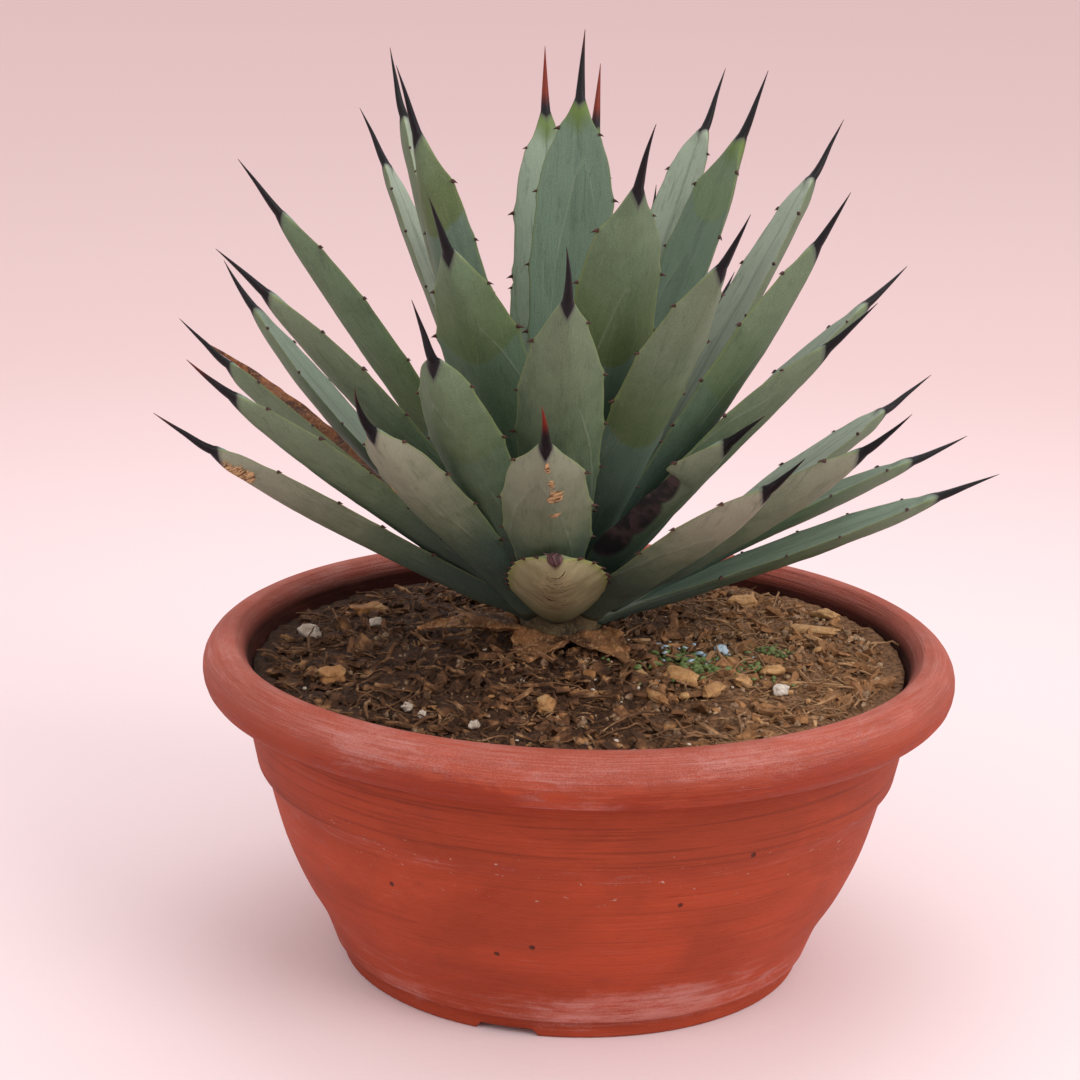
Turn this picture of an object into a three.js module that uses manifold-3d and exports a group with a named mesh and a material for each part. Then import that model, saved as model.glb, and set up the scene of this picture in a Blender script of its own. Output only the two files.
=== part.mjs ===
// A black-spined agave rosette growing in a round, shallow terracotta bowl.
// Millimetres, +Z up. The origin is on the ground, at the centre of the bowl's foot.
// Headings are degrees seen from above: 0 is +X, 90 is +Y.
import * as THREE from "three";
import { mergeVertices } from "three/addons/utils/BufferGeometryUtils.js";
import Module from "manifold-3d";

const wasm = await Module();
wasm.setup();

// Driving dimensions
const GAP = 0.3; // left between two pieces that touch
const TURN_STEPS = 48; // facets round the bowl

const BOWL = {
  height: 133,
  rimRadius: 150,
  rimDepth: 20.5, // height of the rolled rim
  rimInnerRadius: 134.6,
  rimRound: 3, // rounding of the rim's inner edge
  wall: 7,
  footRadius: 93,
  footHeight: 7,
  footBevel: 1,
  footRing: 11, // width of the ring that stands on the ground
  recess: 4, // the ring holds the bowl's underside this far off the ground
  floorTop: 13,
  floorRound: 8, // the wall meets the floor in a curve this high
  drainHoleRadius: 9,
};
// The outer side above the foot, as distances beyond the foot's radius and heights
const BOWL_BELLY = [[3.5, 8], [9, 22], [17, 36], [24, 52], [31.5, 77.5]];
const BOWL_BAND = [[35.5, 83], [38.5, 98], [40.5, 112]];
// The rolled rim, as distances inside its greatest radius and heights above its lower edge
const BOWL_RIM = [[5, 0], [1.6, 3], [0, 8], [0.5, 13], [3.2, 17.5], [8, 20.5]];
const BOWL_THROAT = [129.6, 117]; // radius and height of the inner wall where the rim starts
// Notches that let drained water out from under the foot
const NOTCH = { headings: [15, 135, 255], width: 23, height: 3 };

// The soil's top, as radii and heights, from the wall to the middle of the mound
const SOIL_EDGE_HEIGHT = 119;
const SOIL_MOUND = [[70, 124], [31.5, 127.7], [0, 129]];
const SOIL_STEPS = 40;

const CROWN = new THREE.Vector2(-8, 12); // where the plant stands in the bowl
// The stem, as radii and heights
const STEM = [[0, 98], [9, 98], [13, 106], [16, 122], [18, 130], [15, 142], [9, 154], [0, 162]];
const STEM_SHOULDER = 130;
const STEM_STEPS = 16;

const LEAF_LINE_STEPS = 40;
const LEAF = {
  lowestBase: 130, // height at which a level leaf leaves the stem
  baseClimb: 24, // a steep leaf starts this much higher
  lowBaseRadius: 21,
  steepBaseRadius: 5,
  steepRise: 80,
  thickness: 0.26, // of the leaf's width, at its middle
  baseThickness: 0.3, // the same at the base
  thinsOver: 0.5, // the part of the blade in which it thins from the one to the other
  channel: 0.07, // depth of the hollow along the upper face, of the width
  spineBaseWidth: 3.8,
  spineTipWidth: 0.7,
  spineCrown: 0.8, // how round the spine's upper side is
};
// Half of the outline, from the base (0) to the foot of the spine (1), as a share of the greatest width
const OUTLINE = [
  [0, 0.56],
  [0.15, 0.62],
  [0.32, 0.79],
  [0.48, 0.94],
  [0.64, 1],
  [0.77, 0.92],
  [0.87, 0.71],
  [0.95, 0.38],
];

// A leaf that stopped growing early: short, and broadest below its middle
const STUNTED_OUTLINE = [
  [0, 0.6],
  [0.2, 0.86],
  [0.45, 1],
  [0.68, 0.93],
  [0.84, 0.72],
  [0.95, 0.36],
];

// heading and rise give the way the leaf points at mid length, in degrees. bend is how much steeper
// the tip is than the base, and sway how far the heading turns on the way, both in degrees.
// length runs from the stem to the tip of the spine, and width is the greatest. roll turns the leaf
// about its own length, in degrees.
const leaf = (heading, rise, length, width, { bend = 0, sway = 0, roll = 0, spine = 26 } = {}) => ({
  heading, rise, length, width, bend, sway, roll, spine,
});
const LEAVES = [
  // the lowest whorl, nearly level
  { ...leaf(269, 31, 96, 37, { spine: 8 }), outline: STUNTED_OUTLINE },
  leaf(211, 31, 187, 28, { bend: 7, sway: 6, roll: -12 }),
  leaf(169, 36, 183, 28, { bend: 9, sway: -2, roll: -25 }),
  { ...leaf(149, 28, 189, 17, { bend: -4, spine: 24 }), dead: true },
  leaf(304, 34, 170, 31, { bend: 8, sway: 4 }),
  leaf(329, 36, 170, 30, { bend: 9, roll: 20 }),
  leaf(1, 22, 170, 27, { bend: 4, sway: 2 }),
  leaf(13, 24, 169, 28, { bend: -7, roll: 10 }),
  leaf(28, 28, 181, 28, { bend: 9, roll: 12 }),
  leaf(58, 44, 168, 27, { bend: 4 }),
  leaf(84, 46, 168, 28, { bend: 6 }),
  leaf(113, 43, 166, 27, { bend: 5 }),
  // the second whorl
  leaf(215, 37, 194, 30, { bend: 3, roll: -10 }),
  leaf(238, 40, 176, 29, { bend: 9, sway: 9, roll: -10 }),
  leaf(268, 41, 174, 33, { bend: 14, sway: 8 }),
  leaf(305, 42, 153, 30, { bend: -13, sway: 6, spine: 24 }),
  leaf(347, 49, 170, 30, { bend: -11, roll: 20 }),
  leaf(30, 40, 198, 28, { bend: -8, sway: -4, roll: 18 }),
  leaf(155, 40, 194, 29, { bend: 20, sway: -6, roll: -15 }),
  leaf(99, 56, 178, 30, { bend: 4 }),
  leaf(70, 57, 180, 30, { bend: 3 }),
  // the third whorl
  leaf(209, 48, 203, 31, { bend: -7, roll: -5 }),
  leaf(247, 49, 189, 31, { bend: 18, sway: 4 }),
  leaf(271, 54, 200, 32, { bend: 9, sway: 10 }),
  leaf(301, 56, 206, 32, { bend: -7, sway: 7, roll: -4 }),
  leaf(356, 59, 193, 31, { bend: 5, roll: 28 }),
  leaf(36, 55, 224, 30, { bend: 3, roll: 15 }),
  leaf(130, 54, 223, 24, { bend: -2, roll: -28 }),
  leaf(180, 55, 210, 31, { bend: -4, roll: -28 }),
  // the steep inner leaves
  leaf(244, 59, 202, 34, { bend: -4, roll: -10 }),
  leaf(288, 67, 214, 34, { bend: 4, sway: 2 }),
  leaf(10, 71, 217, 32, { bend: -4, roll: -22 }),
  leaf(54, 64, 223, 30, { bend: -8, roll: 12 }),
  leaf(83, 69, 214, 21, { bend: -3, roll: 20 }),
  leaf(101, 73, 216, 30, { sway: -4 }),
  leaf(138, 65, 228, 26, { bend: 11, sway: -4, roll: -28 }),
  leaf(196, 73, 216, 30, { bend: 4, roll: -28 }),
  leaf(83, 85, 217, 33, { bend: -10 }),
];
// Dry stumps of old leaves round the foot of the stem
const STUMPS = [
  { heading: 198, rise: 4, length: 50, width: 22 },
  { heading: 252, rise: -4, length: 35, width: 24 },
  { heading: 306, rise: -2, length: 37, width: 26 },
  { heading: 60, rise: 2, length: 42, width: 22 },
];
const STUMP = {
  thickness: 0.14, // of the width
  channel: 0.5,
  bend: -20,
  start: 9, // distance from the middle of the stem
  height: 132,
  outline: [0.9, 1, 0.95, 0.6, 0.15],
};

const COLOURS = {
  bowl: new THREE.MeshStandardMaterial({ color: 0xb5452c, roughness: 0.75, metalness: 0 }),
  soil: new THREE.MeshStandardMaterial({ color: 0x4a3022, roughness: 0.95, metalness: 0 }),
  stem: new THREE.MeshStandardMaterial({ color: 0x7d7350, roughness: 0.8, metalness: 0 }),
  leaf: new THREE.MeshStandardMaterial({ color: 0x7c9a83, roughness: 0.55, metalness: 0 }),
  dryLeaf: new THREE.MeshStandardMaterial({ color: 0xa06a3c, roughness: 0.85, metalness: 0 }),
};

const radians = THREE.MathUtils.degToRad;

// Solids for cutting

function solidOf(geometry) {
  const bare = geometry.clone();
  bare.deleteAttribute("normal");
  bare.deleteAttribute("uv");
  const merged = mergeVertices(bare, 1e-4);
  return new wasm.Manifold(
    new wasm.Mesh({
      numProp: 3,
      vertProperties: merged.attributes.position.array,
      triVerts: new Uint32Array(merged.index.array),
    }),
  );
}

function geometryOf(solid) {
  const mesh = solid.getMesh();
  const geometry = new THREE.BufferGeometry();
  geometry.setAttribute("position", new THREE.BufferAttribute(mesh.vertProperties, 3));
  geometry.setIndex(new THREE.BufferAttribute(mesh.triVerts, 1));
  geometry.computeVertexNormals();
  return geometry;
}

function largestPiece(solid) {
  return solid.decompose().reduce((best, piece) => (piece.volume() > best.volume() ? piece : best));
}

// A closed skin over rings of points, each ring anticlockwise seen from the far end, with fan caps.
function skinOf(rings) {
  const count = rings[0].length;
  const points = rings.flat();
  const faces = [];
  for (let r = 0; r + 1 < rings.length; r++) {
    for (let i = 0; i < count; i++) {
      const a = r * count + i;
      const b = r * count + ((i + 1) % count);
      faces.push(a, b, b + count, a, b + count, a + count);
    }
  }
  const last = (rings.length - 1) * count;
  for (let i = 1; i + 1 < count; i++) {
    faces.push(0, i + 1, i);
    faces.push(last, last + i, last + i + 1);
  }
  const geometry = new THREE.BufferGeometry();
  const flat = new Float32Array(points.flatMap((p) => [p.x, p.y, p.z]));
  geometry.setAttribute("position", new THREE.BufferAttribute(flat, 3));
  geometry.setIndex(faces);
  return geometry;
}

// A body turned about +Z from [radius, height] pairs that go round the section anticlockwise.
function turned(profile, steps) {
  const closed = profile.map(([radius, height]) => new THREE.Vector2(radius, height));
  closed.push(closed[0].clone());
  const geometry = new THREE.LatheGeometry(closed, steps);
  geometry.rotateX(Math.PI / 2);
  return geometry;
}

// The bowl

// Half of the section's outer side: foot, round belly, ledge, straight band.
function bowlOutside() {
  const { footRadius, footHeight, footBevel } = BOWL;
  const foot = [[footRadius - footBevel, 0], [footRadius, footBevel], [footRadius, footHeight]];
  const side = [...BOWL_BELLY, ...BOWL_BAND].map(([beyond, z]) => [footRadius + beyond, z]);
  return [...foot, ...side];
}

// The rolled rim: a crisp overhanging lower edge, an upright face and a rounded top.
function bowlRim() {
  const { rimRadius, height, rimDepth, rimInnerRadius, rimRound } = BOWL;
  const outer = BOWL_RIM.map(([inside, up]) => [rimRadius - inside, height - rimDepth + up]);
  return [...outer, [rimInnerRadius + rimRound, height], [rimInnerRadius, height - rimRound]];
}

// The inner wall, from the rim down to the floor: the outside moved in by the wall's thickness.
function bowlInside() {
  const { footRadius, wall, floorTop, floorRound } = BOWL;
  const side = [...BOWL_BELLY, ...BOWL_BAND]
    .filter(([, z]) => z > floorTop + floorRound)
    .map(([beyond, z]) => [footRadius + beyond - wall, z]);
  const [lowestRadius] = side[0];
  return [BOWL_THROAT, ...side.reverse(), [lowestRadius - floorRound, floorTop]];
}

function bowlGeometry() {
  const { footRadius, footRing, footBevel, recess, floorTop, drainHoleRadius } = BOWL;
  const underside = [
    [drainHoleRadius, floorTop],
    [drainHoleRadius, recess],
    [footRadius - footRing - footBevel, recess],
    [footRadius - footRing, 0],
  ];
  let bowl = solidOf(turned([...bowlOutside(), ...bowlRim(), ...bowlInside(), ...underside], TURN_STEPS));
  for (const heading of NOTCH.headings) {
    const notch = new THREE.BoxGeometry(footRing * 3, NOTCH.width, NOTCH.height * 2);
    notch.translate(footRadius - footRing / 2, 0, 0);
    notch.rotateZ(radians(heading));
    bowl = bowl.subtract(solidOf(notch));
  }
  return geometryOf(bowl);
}

// The soil, which fills the bowl and is mounded at the middle

function soilProfile(spare) {
  const { rimInnerRadius, height, rimRound, floorTop } = BOWL;
  const inside = [[rimInnerRadius, height - rimRound], ...bowlInside()];
  const below = inside.findIndex(([, z]) => z < SOIL_EDGE_HEIGHT);
  const [[highRadius, high], [lowRadius, low]] = [inside[below - 1], inside[below]];
  const edgeRadius = THREE.MathUtils.mapLinear(SOIL_EDGE_HEIGHT, low, high, lowRadius, highRadius);
  const side = inside.slice(below).map(([radius, z]) => [radius - GAP, Math.max(z, floorTop + GAP)]);
  const mound = SOIL_MOUND.map(([radius, z]) => [radius, z + spare]);
  return [[0, floorTop + GAP], ...side.reverse(), [edgeRadius - GAP, SOIL_EDGE_HEIGHT + spare], ...mound];
}

// The stem, a short trunk that the leaves hide

function stemGeometry(spare) {
  const profile = STEM.map(([radius, z]) => [
    radius ? radius + spare : 0,
    z < STEM_SHOULDER ? z - spare : z + spare,
  ]);
  const geometry = turned(profile, STEM_STEPS);
  geometry.translate(CROWN.x, CROWN.y, 0);
  return geometry;
}

// The leaves

// Points and directions along the middle of a leaf: its rise and heading change evenly on the way.
function leafLine({ heading, rise, length, bend, sway }, start) {
  const steps = LEAF_LINE_STEPS;
  const line = [{ point: start.clone(), way: null }];
  const point = start.clone();
  for (let i = 0; i < steps; i++) {
    const along = (i + 0.5) / steps - 0.5;
    const pitch = radians(rise + bend * along);
    const turn = radians(heading + sway * along);
    const way = new THREE.Vector3(
      Math.cos(pitch) * Math.cos(turn),
      Math.cos(pitch) * Math.sin(turn),
      Math.sin(pitch),
    );
    point.addScaledVector(way, length / steps);
    line.push({ point: point.clone(), way });
  }
  line[0].way = line[1].way;
  return line;
}

// One ring of a leaf: a shallow channel above and a rounded keel below.
const RING = [
  [-1, 0],
  [-0.5, 0.75],
  [0, 1],
  [0.5, 0.75],
  [1, 0],
  [0.55, -0.62],
  [0, -1],
  [-0.55, -0.62],
];

function leafRing({ point, way }, roll, { halfWidth, thickness, channel }, spare) {
  const across = new THREE.Vector3(way.y, -way.x, 0).normalize().applyAxisAngle(way, -radians(roll));
  const up = new THREE.Vector3().crossVectors(across, way);
  const lift = thickness / 2; // the line runs through the middle of the flesh
  const hollow = spare ? -spare : channel;
  return RING.map(([x, y]) => {
    const height = lift + (y < 0 ? y * (thickness + spare) : -y * hollow);
    const side = x * (halfWidth + 2 * spare);
    return point.clone().addScaledVector(across, side).addScaledVector(up, height);
  });
}

function leafStart({ heading, rise }) {
  const steepness = THREE.MathUtils.clamp(rise / LEAF.steepRise, 0, 1);
  const radius = THREE.MathUtils.lerp(LEAF.lowBaseRadius, LEAF.steepBaseRadius, steepness);
  return new THREE.Vector3(
    CROWN.x + radius * Math.cos(radians(heading)),
    CROWN.y + radius * Math.sin(radians(heading)),
    LEAF.lowestBase + LEAF.baseClimb * steepness,
  );
}

// The round section of the spine, from its foot (0) to its tip (1)
function spineSection(along) {
  const radius = THREE.MathUtils.lerp(LEAF.spineBaseWidth, LEAF.spineTipWidth, along) / 2;
  return { halfWidth: radius, thickness: radius, channel: -radius * LEAF.spineCrown };
}

// spare makes the leaf fatter all round, for cutting its neighbours.
function leafGeometry(shape, spare) {
  const { length, width, spine, roll, outline = OUTLINE } = shape;
  const line = leafLine(shape, leafStart(shape));
  const at = (distance) => line[Math.round((distance / length) * (line.length - 1))];
  const blade = length - spine;
  const rings = outline.map(([along, share]) => {
    const thinned = Math.min(1, along / LEAF.thinsOver);
    const thick = THREE.MathUtils.lerp(LEAF.baseThickness, LEAF.thickness, thinned);
    const section = {
      halfWidth: (share * width) / 2,
      thickness: thick * width * Math.sqrt(share),
      channel: LEAF.channel * width * share,
    };
    return leafRing(at(along * blade), roll, section, spare);
  });
  for (const along of [0, 0.5, 1]) {
    rings.push(leafRing(at(blade + along * spine), roll, spineSection(along), spare));
  }
  return skinOf(rings);
}

function stumpGeometry({ heading, rise, length, width }, spare) {
  const start = new THREE.Vector3(
    CROWN.x + STUMP.start * Math.cos(radians(heading)),
    CROWN.y + STUMP.start * Math.sin(radians(heading)),
    STUMP.height,
  );
  const line = leafLine({ heading, rise, length, bend: STUMP.bend, sway: 0 }, start);
  const rings = STUMP.outline.map((share, i) => {
    const at = line[Math.round((i / (STUMP.outline.length - 1)) * (line.length - 1))];
    const section = {
      halfWidth: (share * width) / 2,
      thickness: STUMP.thickness * width * share,
      channel: STUMP.channel,
    };
    return leafRing(at, 0, section, spare);
  });
  return skinOf(rings);
}

// The whole plant in its bowl

const plant = new THREE.Group();

function add(name, geometry, material) {
  const mesh = new THREE.Mesh(geometry, material);
  mesh.name = name;
  plant.add(mesh);
}

add("terracotta_bowl", bowlGeometry(), COLOURS.bowl);

const stem = solidOf(stemGeometry(0));
const stemRoom = solidOf(stemGeometry(GAP));
add("stem", geometryOf(stem), COLOURS.stem);

const soil = solidOf(turned(soilProfile(0), SOIL_STEPS)).subtract(stemRoom);
const soilRoom = solidOf(turned(soilProfile(GAP), SOIL_STEPS));
add("soil", geometryOf(soil), COLOURS.soil);

// Each leaf keeps clear of the ones that come before it in the list, which are older and lower.
const older = [];
LEAVES.forEach((shape, index) => {
  let solid = solidOf(leafGeometry(shape, 0)).subtract(stemRoom).subtract(soilRoom);
  for (const room of older) solid = solid.subtract(room);
  older.push(solidOf(leafGeometry(shape, GAP)));
  const number = String(index + 1).padStart(2, "0");
  add(`leaf_${number}`, geometryOf(largestPiece(solid)), shape.dead ? COLOURS.dryLeaf : COLOURS.leaf);
});

STUMPS.forEach((shape, index) => {
  let solid = solidOf(stumpGeometry(shape, 0)).subtract(stemRoom).subtract(soilRoom);
  for (const room of older) solid = solid.subtract(room);
  older.push(solidOf(stumpGeometry(shape, GAP)));
  add(`dry_leaf_stump_${index + 1}`, geometryOf(largestPiece(solid)), COLOURS.dryLeaf);
});

export default plant;
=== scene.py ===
import functools
import math
import random

import bmesh
import bpy
import numpy as np
from mathutils import Matrix, Vector, noise


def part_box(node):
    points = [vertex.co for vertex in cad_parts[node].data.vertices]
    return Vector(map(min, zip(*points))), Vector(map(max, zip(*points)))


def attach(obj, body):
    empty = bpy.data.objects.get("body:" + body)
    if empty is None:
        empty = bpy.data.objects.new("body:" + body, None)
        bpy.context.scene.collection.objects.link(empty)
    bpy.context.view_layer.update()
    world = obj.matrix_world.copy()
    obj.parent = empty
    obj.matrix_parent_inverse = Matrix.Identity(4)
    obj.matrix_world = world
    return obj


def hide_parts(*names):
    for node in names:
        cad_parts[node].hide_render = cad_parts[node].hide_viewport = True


bl_info = {
    "name": "Potted agave",
    "version": (1, 0, 0),
    "blender": (4, 5, 0),
    "location": "3D View > Sidebar > Agave",
    "description": "Builds a black-spined agave in a terracotta bowl round its packed model",
    "category": "Add Mesh",
}

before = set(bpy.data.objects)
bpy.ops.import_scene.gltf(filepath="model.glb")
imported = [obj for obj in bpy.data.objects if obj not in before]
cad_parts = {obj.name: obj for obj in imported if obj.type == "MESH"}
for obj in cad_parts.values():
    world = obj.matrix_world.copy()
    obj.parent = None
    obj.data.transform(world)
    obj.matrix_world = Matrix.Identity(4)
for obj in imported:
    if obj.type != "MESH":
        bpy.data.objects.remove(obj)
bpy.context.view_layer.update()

LEAVES = [n for n in sorted(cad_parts) if n.startswith("leaf_")]
STUMPS = [n for n in sorted(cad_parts) if n.startswith("dry_leaf_stump")]
STUNTED, DEAD = "leaf_01", "leaf_04"


# ---------------------------------------------------------------- settings

def quantity(name, text, default, least=0, **more):
    return bpy.props.FloatProperty(name=name, description=text, default=default, min=least, **more)


def length(name, text, default):
    return quantity(name, text, default, unit="LENGTH", precision=4)


def colour(name, text, default):
    return bpy.props.FloatVectorProperty(
        name=name, description=text, default=default, size=3, min=0, max=1, subtype="COLOR"
    )


class LeafSettings(bpy.types.PropertyGroup):
    tooth_spacing: length("Tooth spacing", "Distance between the teeth along a margin", 0.0255)
    tooth_length: length("Tooth length", "Length of a tooth", 0.0025)
    outer: colour("Outer face", "Green of a leaf's outer face", (0.080, 0.126, 0.066))
    bloom: colour("Bloom", "Waxy bloom on the outer face", (0.172, 0.200, 0.136))
    dust: colour("Dusty bloom", "Thick pinkish bloom on the lowest leaves", (0.275, 0.262, 0.195))
    # blue-green bloom near the foot, darkened partly as painted shade where the leaves crowd round the stem
    foot: colour("Foot", "Blue-green near the foot of a leaf", (0.068, 0.108, 0.088))
    rubbed: colour("Rubbed band", "Yellow-green where the bloom is rubbed off", (0.084, 0.120, 0.030))
    inner: colour("Inner face", "Blue-green of the inner face", (0.150, 0.225, 0.160))
    pale: colour("Pale inner face", "Inner face of a leaf with thick bloom", (0.400, 0.480, 0.370))
    margin: colour("Margin", "Thin horny edge of the leaf", (0.170, 0.210, 0.075))


class BowlSettings(bpy.types.PropertyGroup):
    clay: colour("Clay", "Main colour of the terracotta", (0.350, 0.047, 0.016))
    deep: colour("Damp clay", "Saturated patches", (0.270, 0.026, 0.006))
    lime: colour("Lime", "Pale haze of lime on the clay", (0.560, 0.270, 0.240))
    stained: colour("Stained wall", "Inner wall above the soil", (0.034, 0.004, 0.001))


class SoilSettings(bpy.types.PropertyGroup):
    lumps: length("Lumps", "Height of the lumps in the soil", 0.0034)
    chip_density: quantity("Chips", "Bark chips per square metre", 26000)
    splinter_density: quantity("Splinters", "Splinters of bark per square metre", 7000)
    fibre_density: quantity("Fibres", "Fibres per square metre", 30000)
    grit_density: quantity("Grit", "Grains of grit per square metre", 30000)


class StageSettings(bpy.types.PropertyGroup):
    camera_distance: length("Camera distance", "From the bowl's axis, along -Y", 1.086)
    camera_height: length("Camera height", "Above the floor", 0.4693)
    focal_length: quantity("Focal length", "In millimetres on a 36 mm sensor", 94.43, least=1)
    # floor tones by distance from the bowl, painted light and shade that follow the lamps' fall-off
    floor: colour("Floor", "Pale floor near the bowl", (0.830, 0.690, 0.710))
    middle: colour("Middle of the floor", "Floor a metre away", (0.730, 0.535, 0.540))
    far: colour("Far floor", "Floor several metres away", (0.810, 0.580, 0.585))


# ---------------------------------------------------------------- node trees

def operator(operation, swapped=False):
    """A Python operator that adds a Math node."""
    def apply(self, other):
        return self.tree.math(operation, *((other, self) if swapped else (self, other)))
    return apply


class Value:
    """A node's output that Python arithmetic can use."""

    def __init__(self, tree, socket):
        self.tree, self.socket = tree, socket

    __add__ = __radd__ = operator("ADD")
    __sub__, __rsub__ = operator("SUBTRACT"), operator("SUBTRACT", swapped=True)
    __mul__ = __rmul__ = operator("MULTIPLY")
    __pow__ = operator("POWER")


class Tree:
    """Adds nodes to one shader or geometry tree. Inputs take numbers, colours or Values alike."""

    def __init__(self, tree):
        self.tree = tree

    def node(self, kind, settings=None, inputs=None, output=0):
        made = self.tree.nodes.new(kind)
        for name, value in (settings or {}).items():
            setattr(made, name, value)
        for key, value in (inputs or {}).items():
            self.feed(made.inputs[key], value)
        return Value(self, made.outputs[output])

    def feed(self, socket, value):
        if isinstance(value, Value):
            self.tree.links.new(value.socket, socket)
        else:
            if hasattr(value, "__len__") and len(value) == 3 and len(socket.default_value) == 4:
                value = (*value, 1)  # a colour's alpha
            socket.default_value = value

    def math(self, operation, *values):
        return self.node("ShaderNodeMath", {"operation": operation}, dict(enumerate(values)))

    def vector_math(self, operation, *values, output=0):
        return self.node("ShaderNodeVectorMath", {"operation": operation}, dict(enumerate(values)), output)

    def mix(self, factor, first, second):
        settings = {"data_type": "RGBA", "blend_type": "MIX", "clamp_factor": True}
        return self.node("ShaderNodeMix", settings, {0: factor, 6: first, 7: second}, 2)

    def step(self, value, low, high):
        """0 below low, 1 above high and smooth between; low may be the greater."""
        inputs = {0: value, 1: low, 2: high, 3: 0.0, 4: 1.0}
        return self.node("ShaderNodeMapRange", {"interpolation_type": "SMOOTHSTEP"}, inputs)

    def noise(self, vector, scale, detail=3.0, roughness=0.55, distortion=0.0):
        return self.node("ShaderNodeTexNoise", None, {
            "Vector": vector, "Scale": scale, "Detail": detail,
            "Roughness": roughness, "Distortion": distortion,
        })

    def attribute(self, name):
        return self.node("ShaderNodeAttribute", {"attribute_name": name}, output=2)

    def vector(self, x, y, z):
        return self.node("ShaderNodeCombineXYZ", None, {0: x, 1: y, 2: z})

    def stretched(self, vector, x, y, z):
        return self.vector_math("MULTIPLY", vector, (x, y, z))


def shade(tone, factor):
    """A colour made darker or lighter."""
    return [min(1, c * factor) for c in tone]


def new_material(name):
    """A material with a tree ready for nodes, its shader and its Object coordinates."""
    material = bpy.data.materials.new(name)
    material.use_nodes = True
    tree = Tree(material.node_tree)
    shader = material.node_tree.nodes["Principled BSDF"]
    place = tree.node("ShaderNodeTexCoord", output=3)
    return material, tree, shader, place


def finish_surface(tree, shader, base, roughness, height, distance, gloss=0.22):
    tree.feed(shader.inputs["Base Color"], base)
    tree.feed(shader.inputs["Roughness"], roughness)
    tree.feed(shader.inputs["Specular IOR Level"], gloss)
    normal = tree.node("ShaderNodeBump", None, {"Strength": 1.0, "Distance": distance, "Height": height})
    tree.feed(shader.inputs["Normal"], normal)


# ---------------------------------------------------------------- meshes

def mesh_points(node):
    """The separate vertices of a CAD node, to a hundredth of a millimetre."""
    return np.unique(np.round([v.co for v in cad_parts[node].data.vertices], 5), axis=0)


def linked(name, data):
    """A new object in the scene that holds the given mesh, light or camera."""
    made = bpy.data.objects.new(name, data)
    bpy.context.scene.collection.objects.link(made)
    return made


def new_piece(name, points, faces, material, attributes=None):
    """A smooth closed mesh object with faces pointing out and one float attribute per entry."""
    mesh = bpy.data.meshes.new(name)
    mesh.from_pydata([tuple(p) for p in points], [], faces)
    for key, values in (attributes or {}).items():
        layer = mesh.attributes.new(key, "FLOAT", "POINT")
        layer.data.foreach_set("value", np.asarray(values, np.float32))
    mesh.materials.append(material)
    work = bmesh.new()
    work.from_mesh(mesh)
    bmesh.ops.recalc_face_normals(work, faces=work.faces)
    work.to_mesh(mesh)
    work.free()
    mesh.shade_smooth()
    return linked(name, mesh)


def settle(piece, slot, *nodes):
    """Fixes a finished piece to the plant and hides the CAD nodes that it stands for."""
    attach(piece, "root")
    if nodes:
        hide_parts(*nodes)


def tube_faces(rings, count):
    """Quads between rings of count points each, with a fan over either end."""
    faces = []
    for r in range(rings - 1):
        for i in range(count):
            j = (i + 1) % count
            faces.append((r * count + i, r * count + j, (r + 1) * count + j, (r + 1) * count + i))
    last = (rings - 1) * count
    for i in range(1, count - 1):
        faces.append((0, i + 1, i))
        faces.append((last, last + i, last + i + 1))
    return faces


def smooth_through(stations, values, at):
    """Values at new stations, on a smooth curve through the given ones."""
    slopes = np.gradient(values, stations, axis=0)
    i = np.clip(np.searchsorted(stations, at) - 1, 0, len(stations) - 2)
    span = stations[i + 1] - stations[i]
    t = (at - stations[i]) / span
    if values.ndim > 1:
        t, span = t[:, None], span[:, None]
    rise = t * t * (3 - 2 * t)
    return (
        values[i] * (1 - rise)
        + values[i + 1] * rise
        + slopes[i] * span * t * (1 - t) ** 2
        - slopes[i + 1] * span * t * t * (1 - t)
    )


def unit(vectors):
    return vectors / np.linalg.norm(vectors, axis=-1, keepdims=True)


def ripple(points, size, seed):
    """Smooth noise from -1 to 1 at each point; size is the width of a ripple in metres."""
    shift = Vector((seed * 3.1, seed * 1.7, seed * 0.9))
    return np.array([noise.noise(Vector(p) / size + shift) for p in points])


# ---------------------------------------------------------------- leaves

RING_POINTS = 8  # in each ring of a CAD leaf
RING_GAP = 0.002  # two rings of a CAD leaf are further apart than this
SPINE_RINGS = 3
FOOT_SHARES = ((0, 0.15, 0.32, 0.48, 0.64), (0.56, 0.62, 0.79, 0.94, 1.0))  # of the width, up the blade
STEEP_RISE = math.radians(80)  # from here up, a leaf leaves the stem at its highest
# Where a level leaf leaves the stem, as a share of its height, and how much higher a steep one does
LEVEL_BASE, STEEP_CLIMB = 0.5, 0.375
FOOT_STEP, MOST_FOOT_STEPS = 0.012, 12  # stations added below the rings that the CAD keeps whole
FOOT_DEPTH = 0.56  # of half the width
LIP = 0.00045  # half the thickness of a margin
HOLLOW = 0.13  # how deep the upper face is hollowed, of half the width
BUMP_HEIGHT, BUMP_REACH = 0.0011, 0.0032  # of the swelling under a tooth
TOOTH_WIDTH = 0.34  # of a tooth's length
# Unevenness of the flesh, as heights and widths of ripples, on a dead leaf and on a live one
DEAD_RIPPLES, LIVE_RIPPLES = ((0.0011, 0.006), (0.0008, 0.0025)), ((0.00035, 0.016), (0.00008, 0.004))
SPINE_BEND, SPINE_CURL, SPINE_LIFT = 0.0022, 0.004, 0.0016  # how far a spine's tip strays
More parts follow.
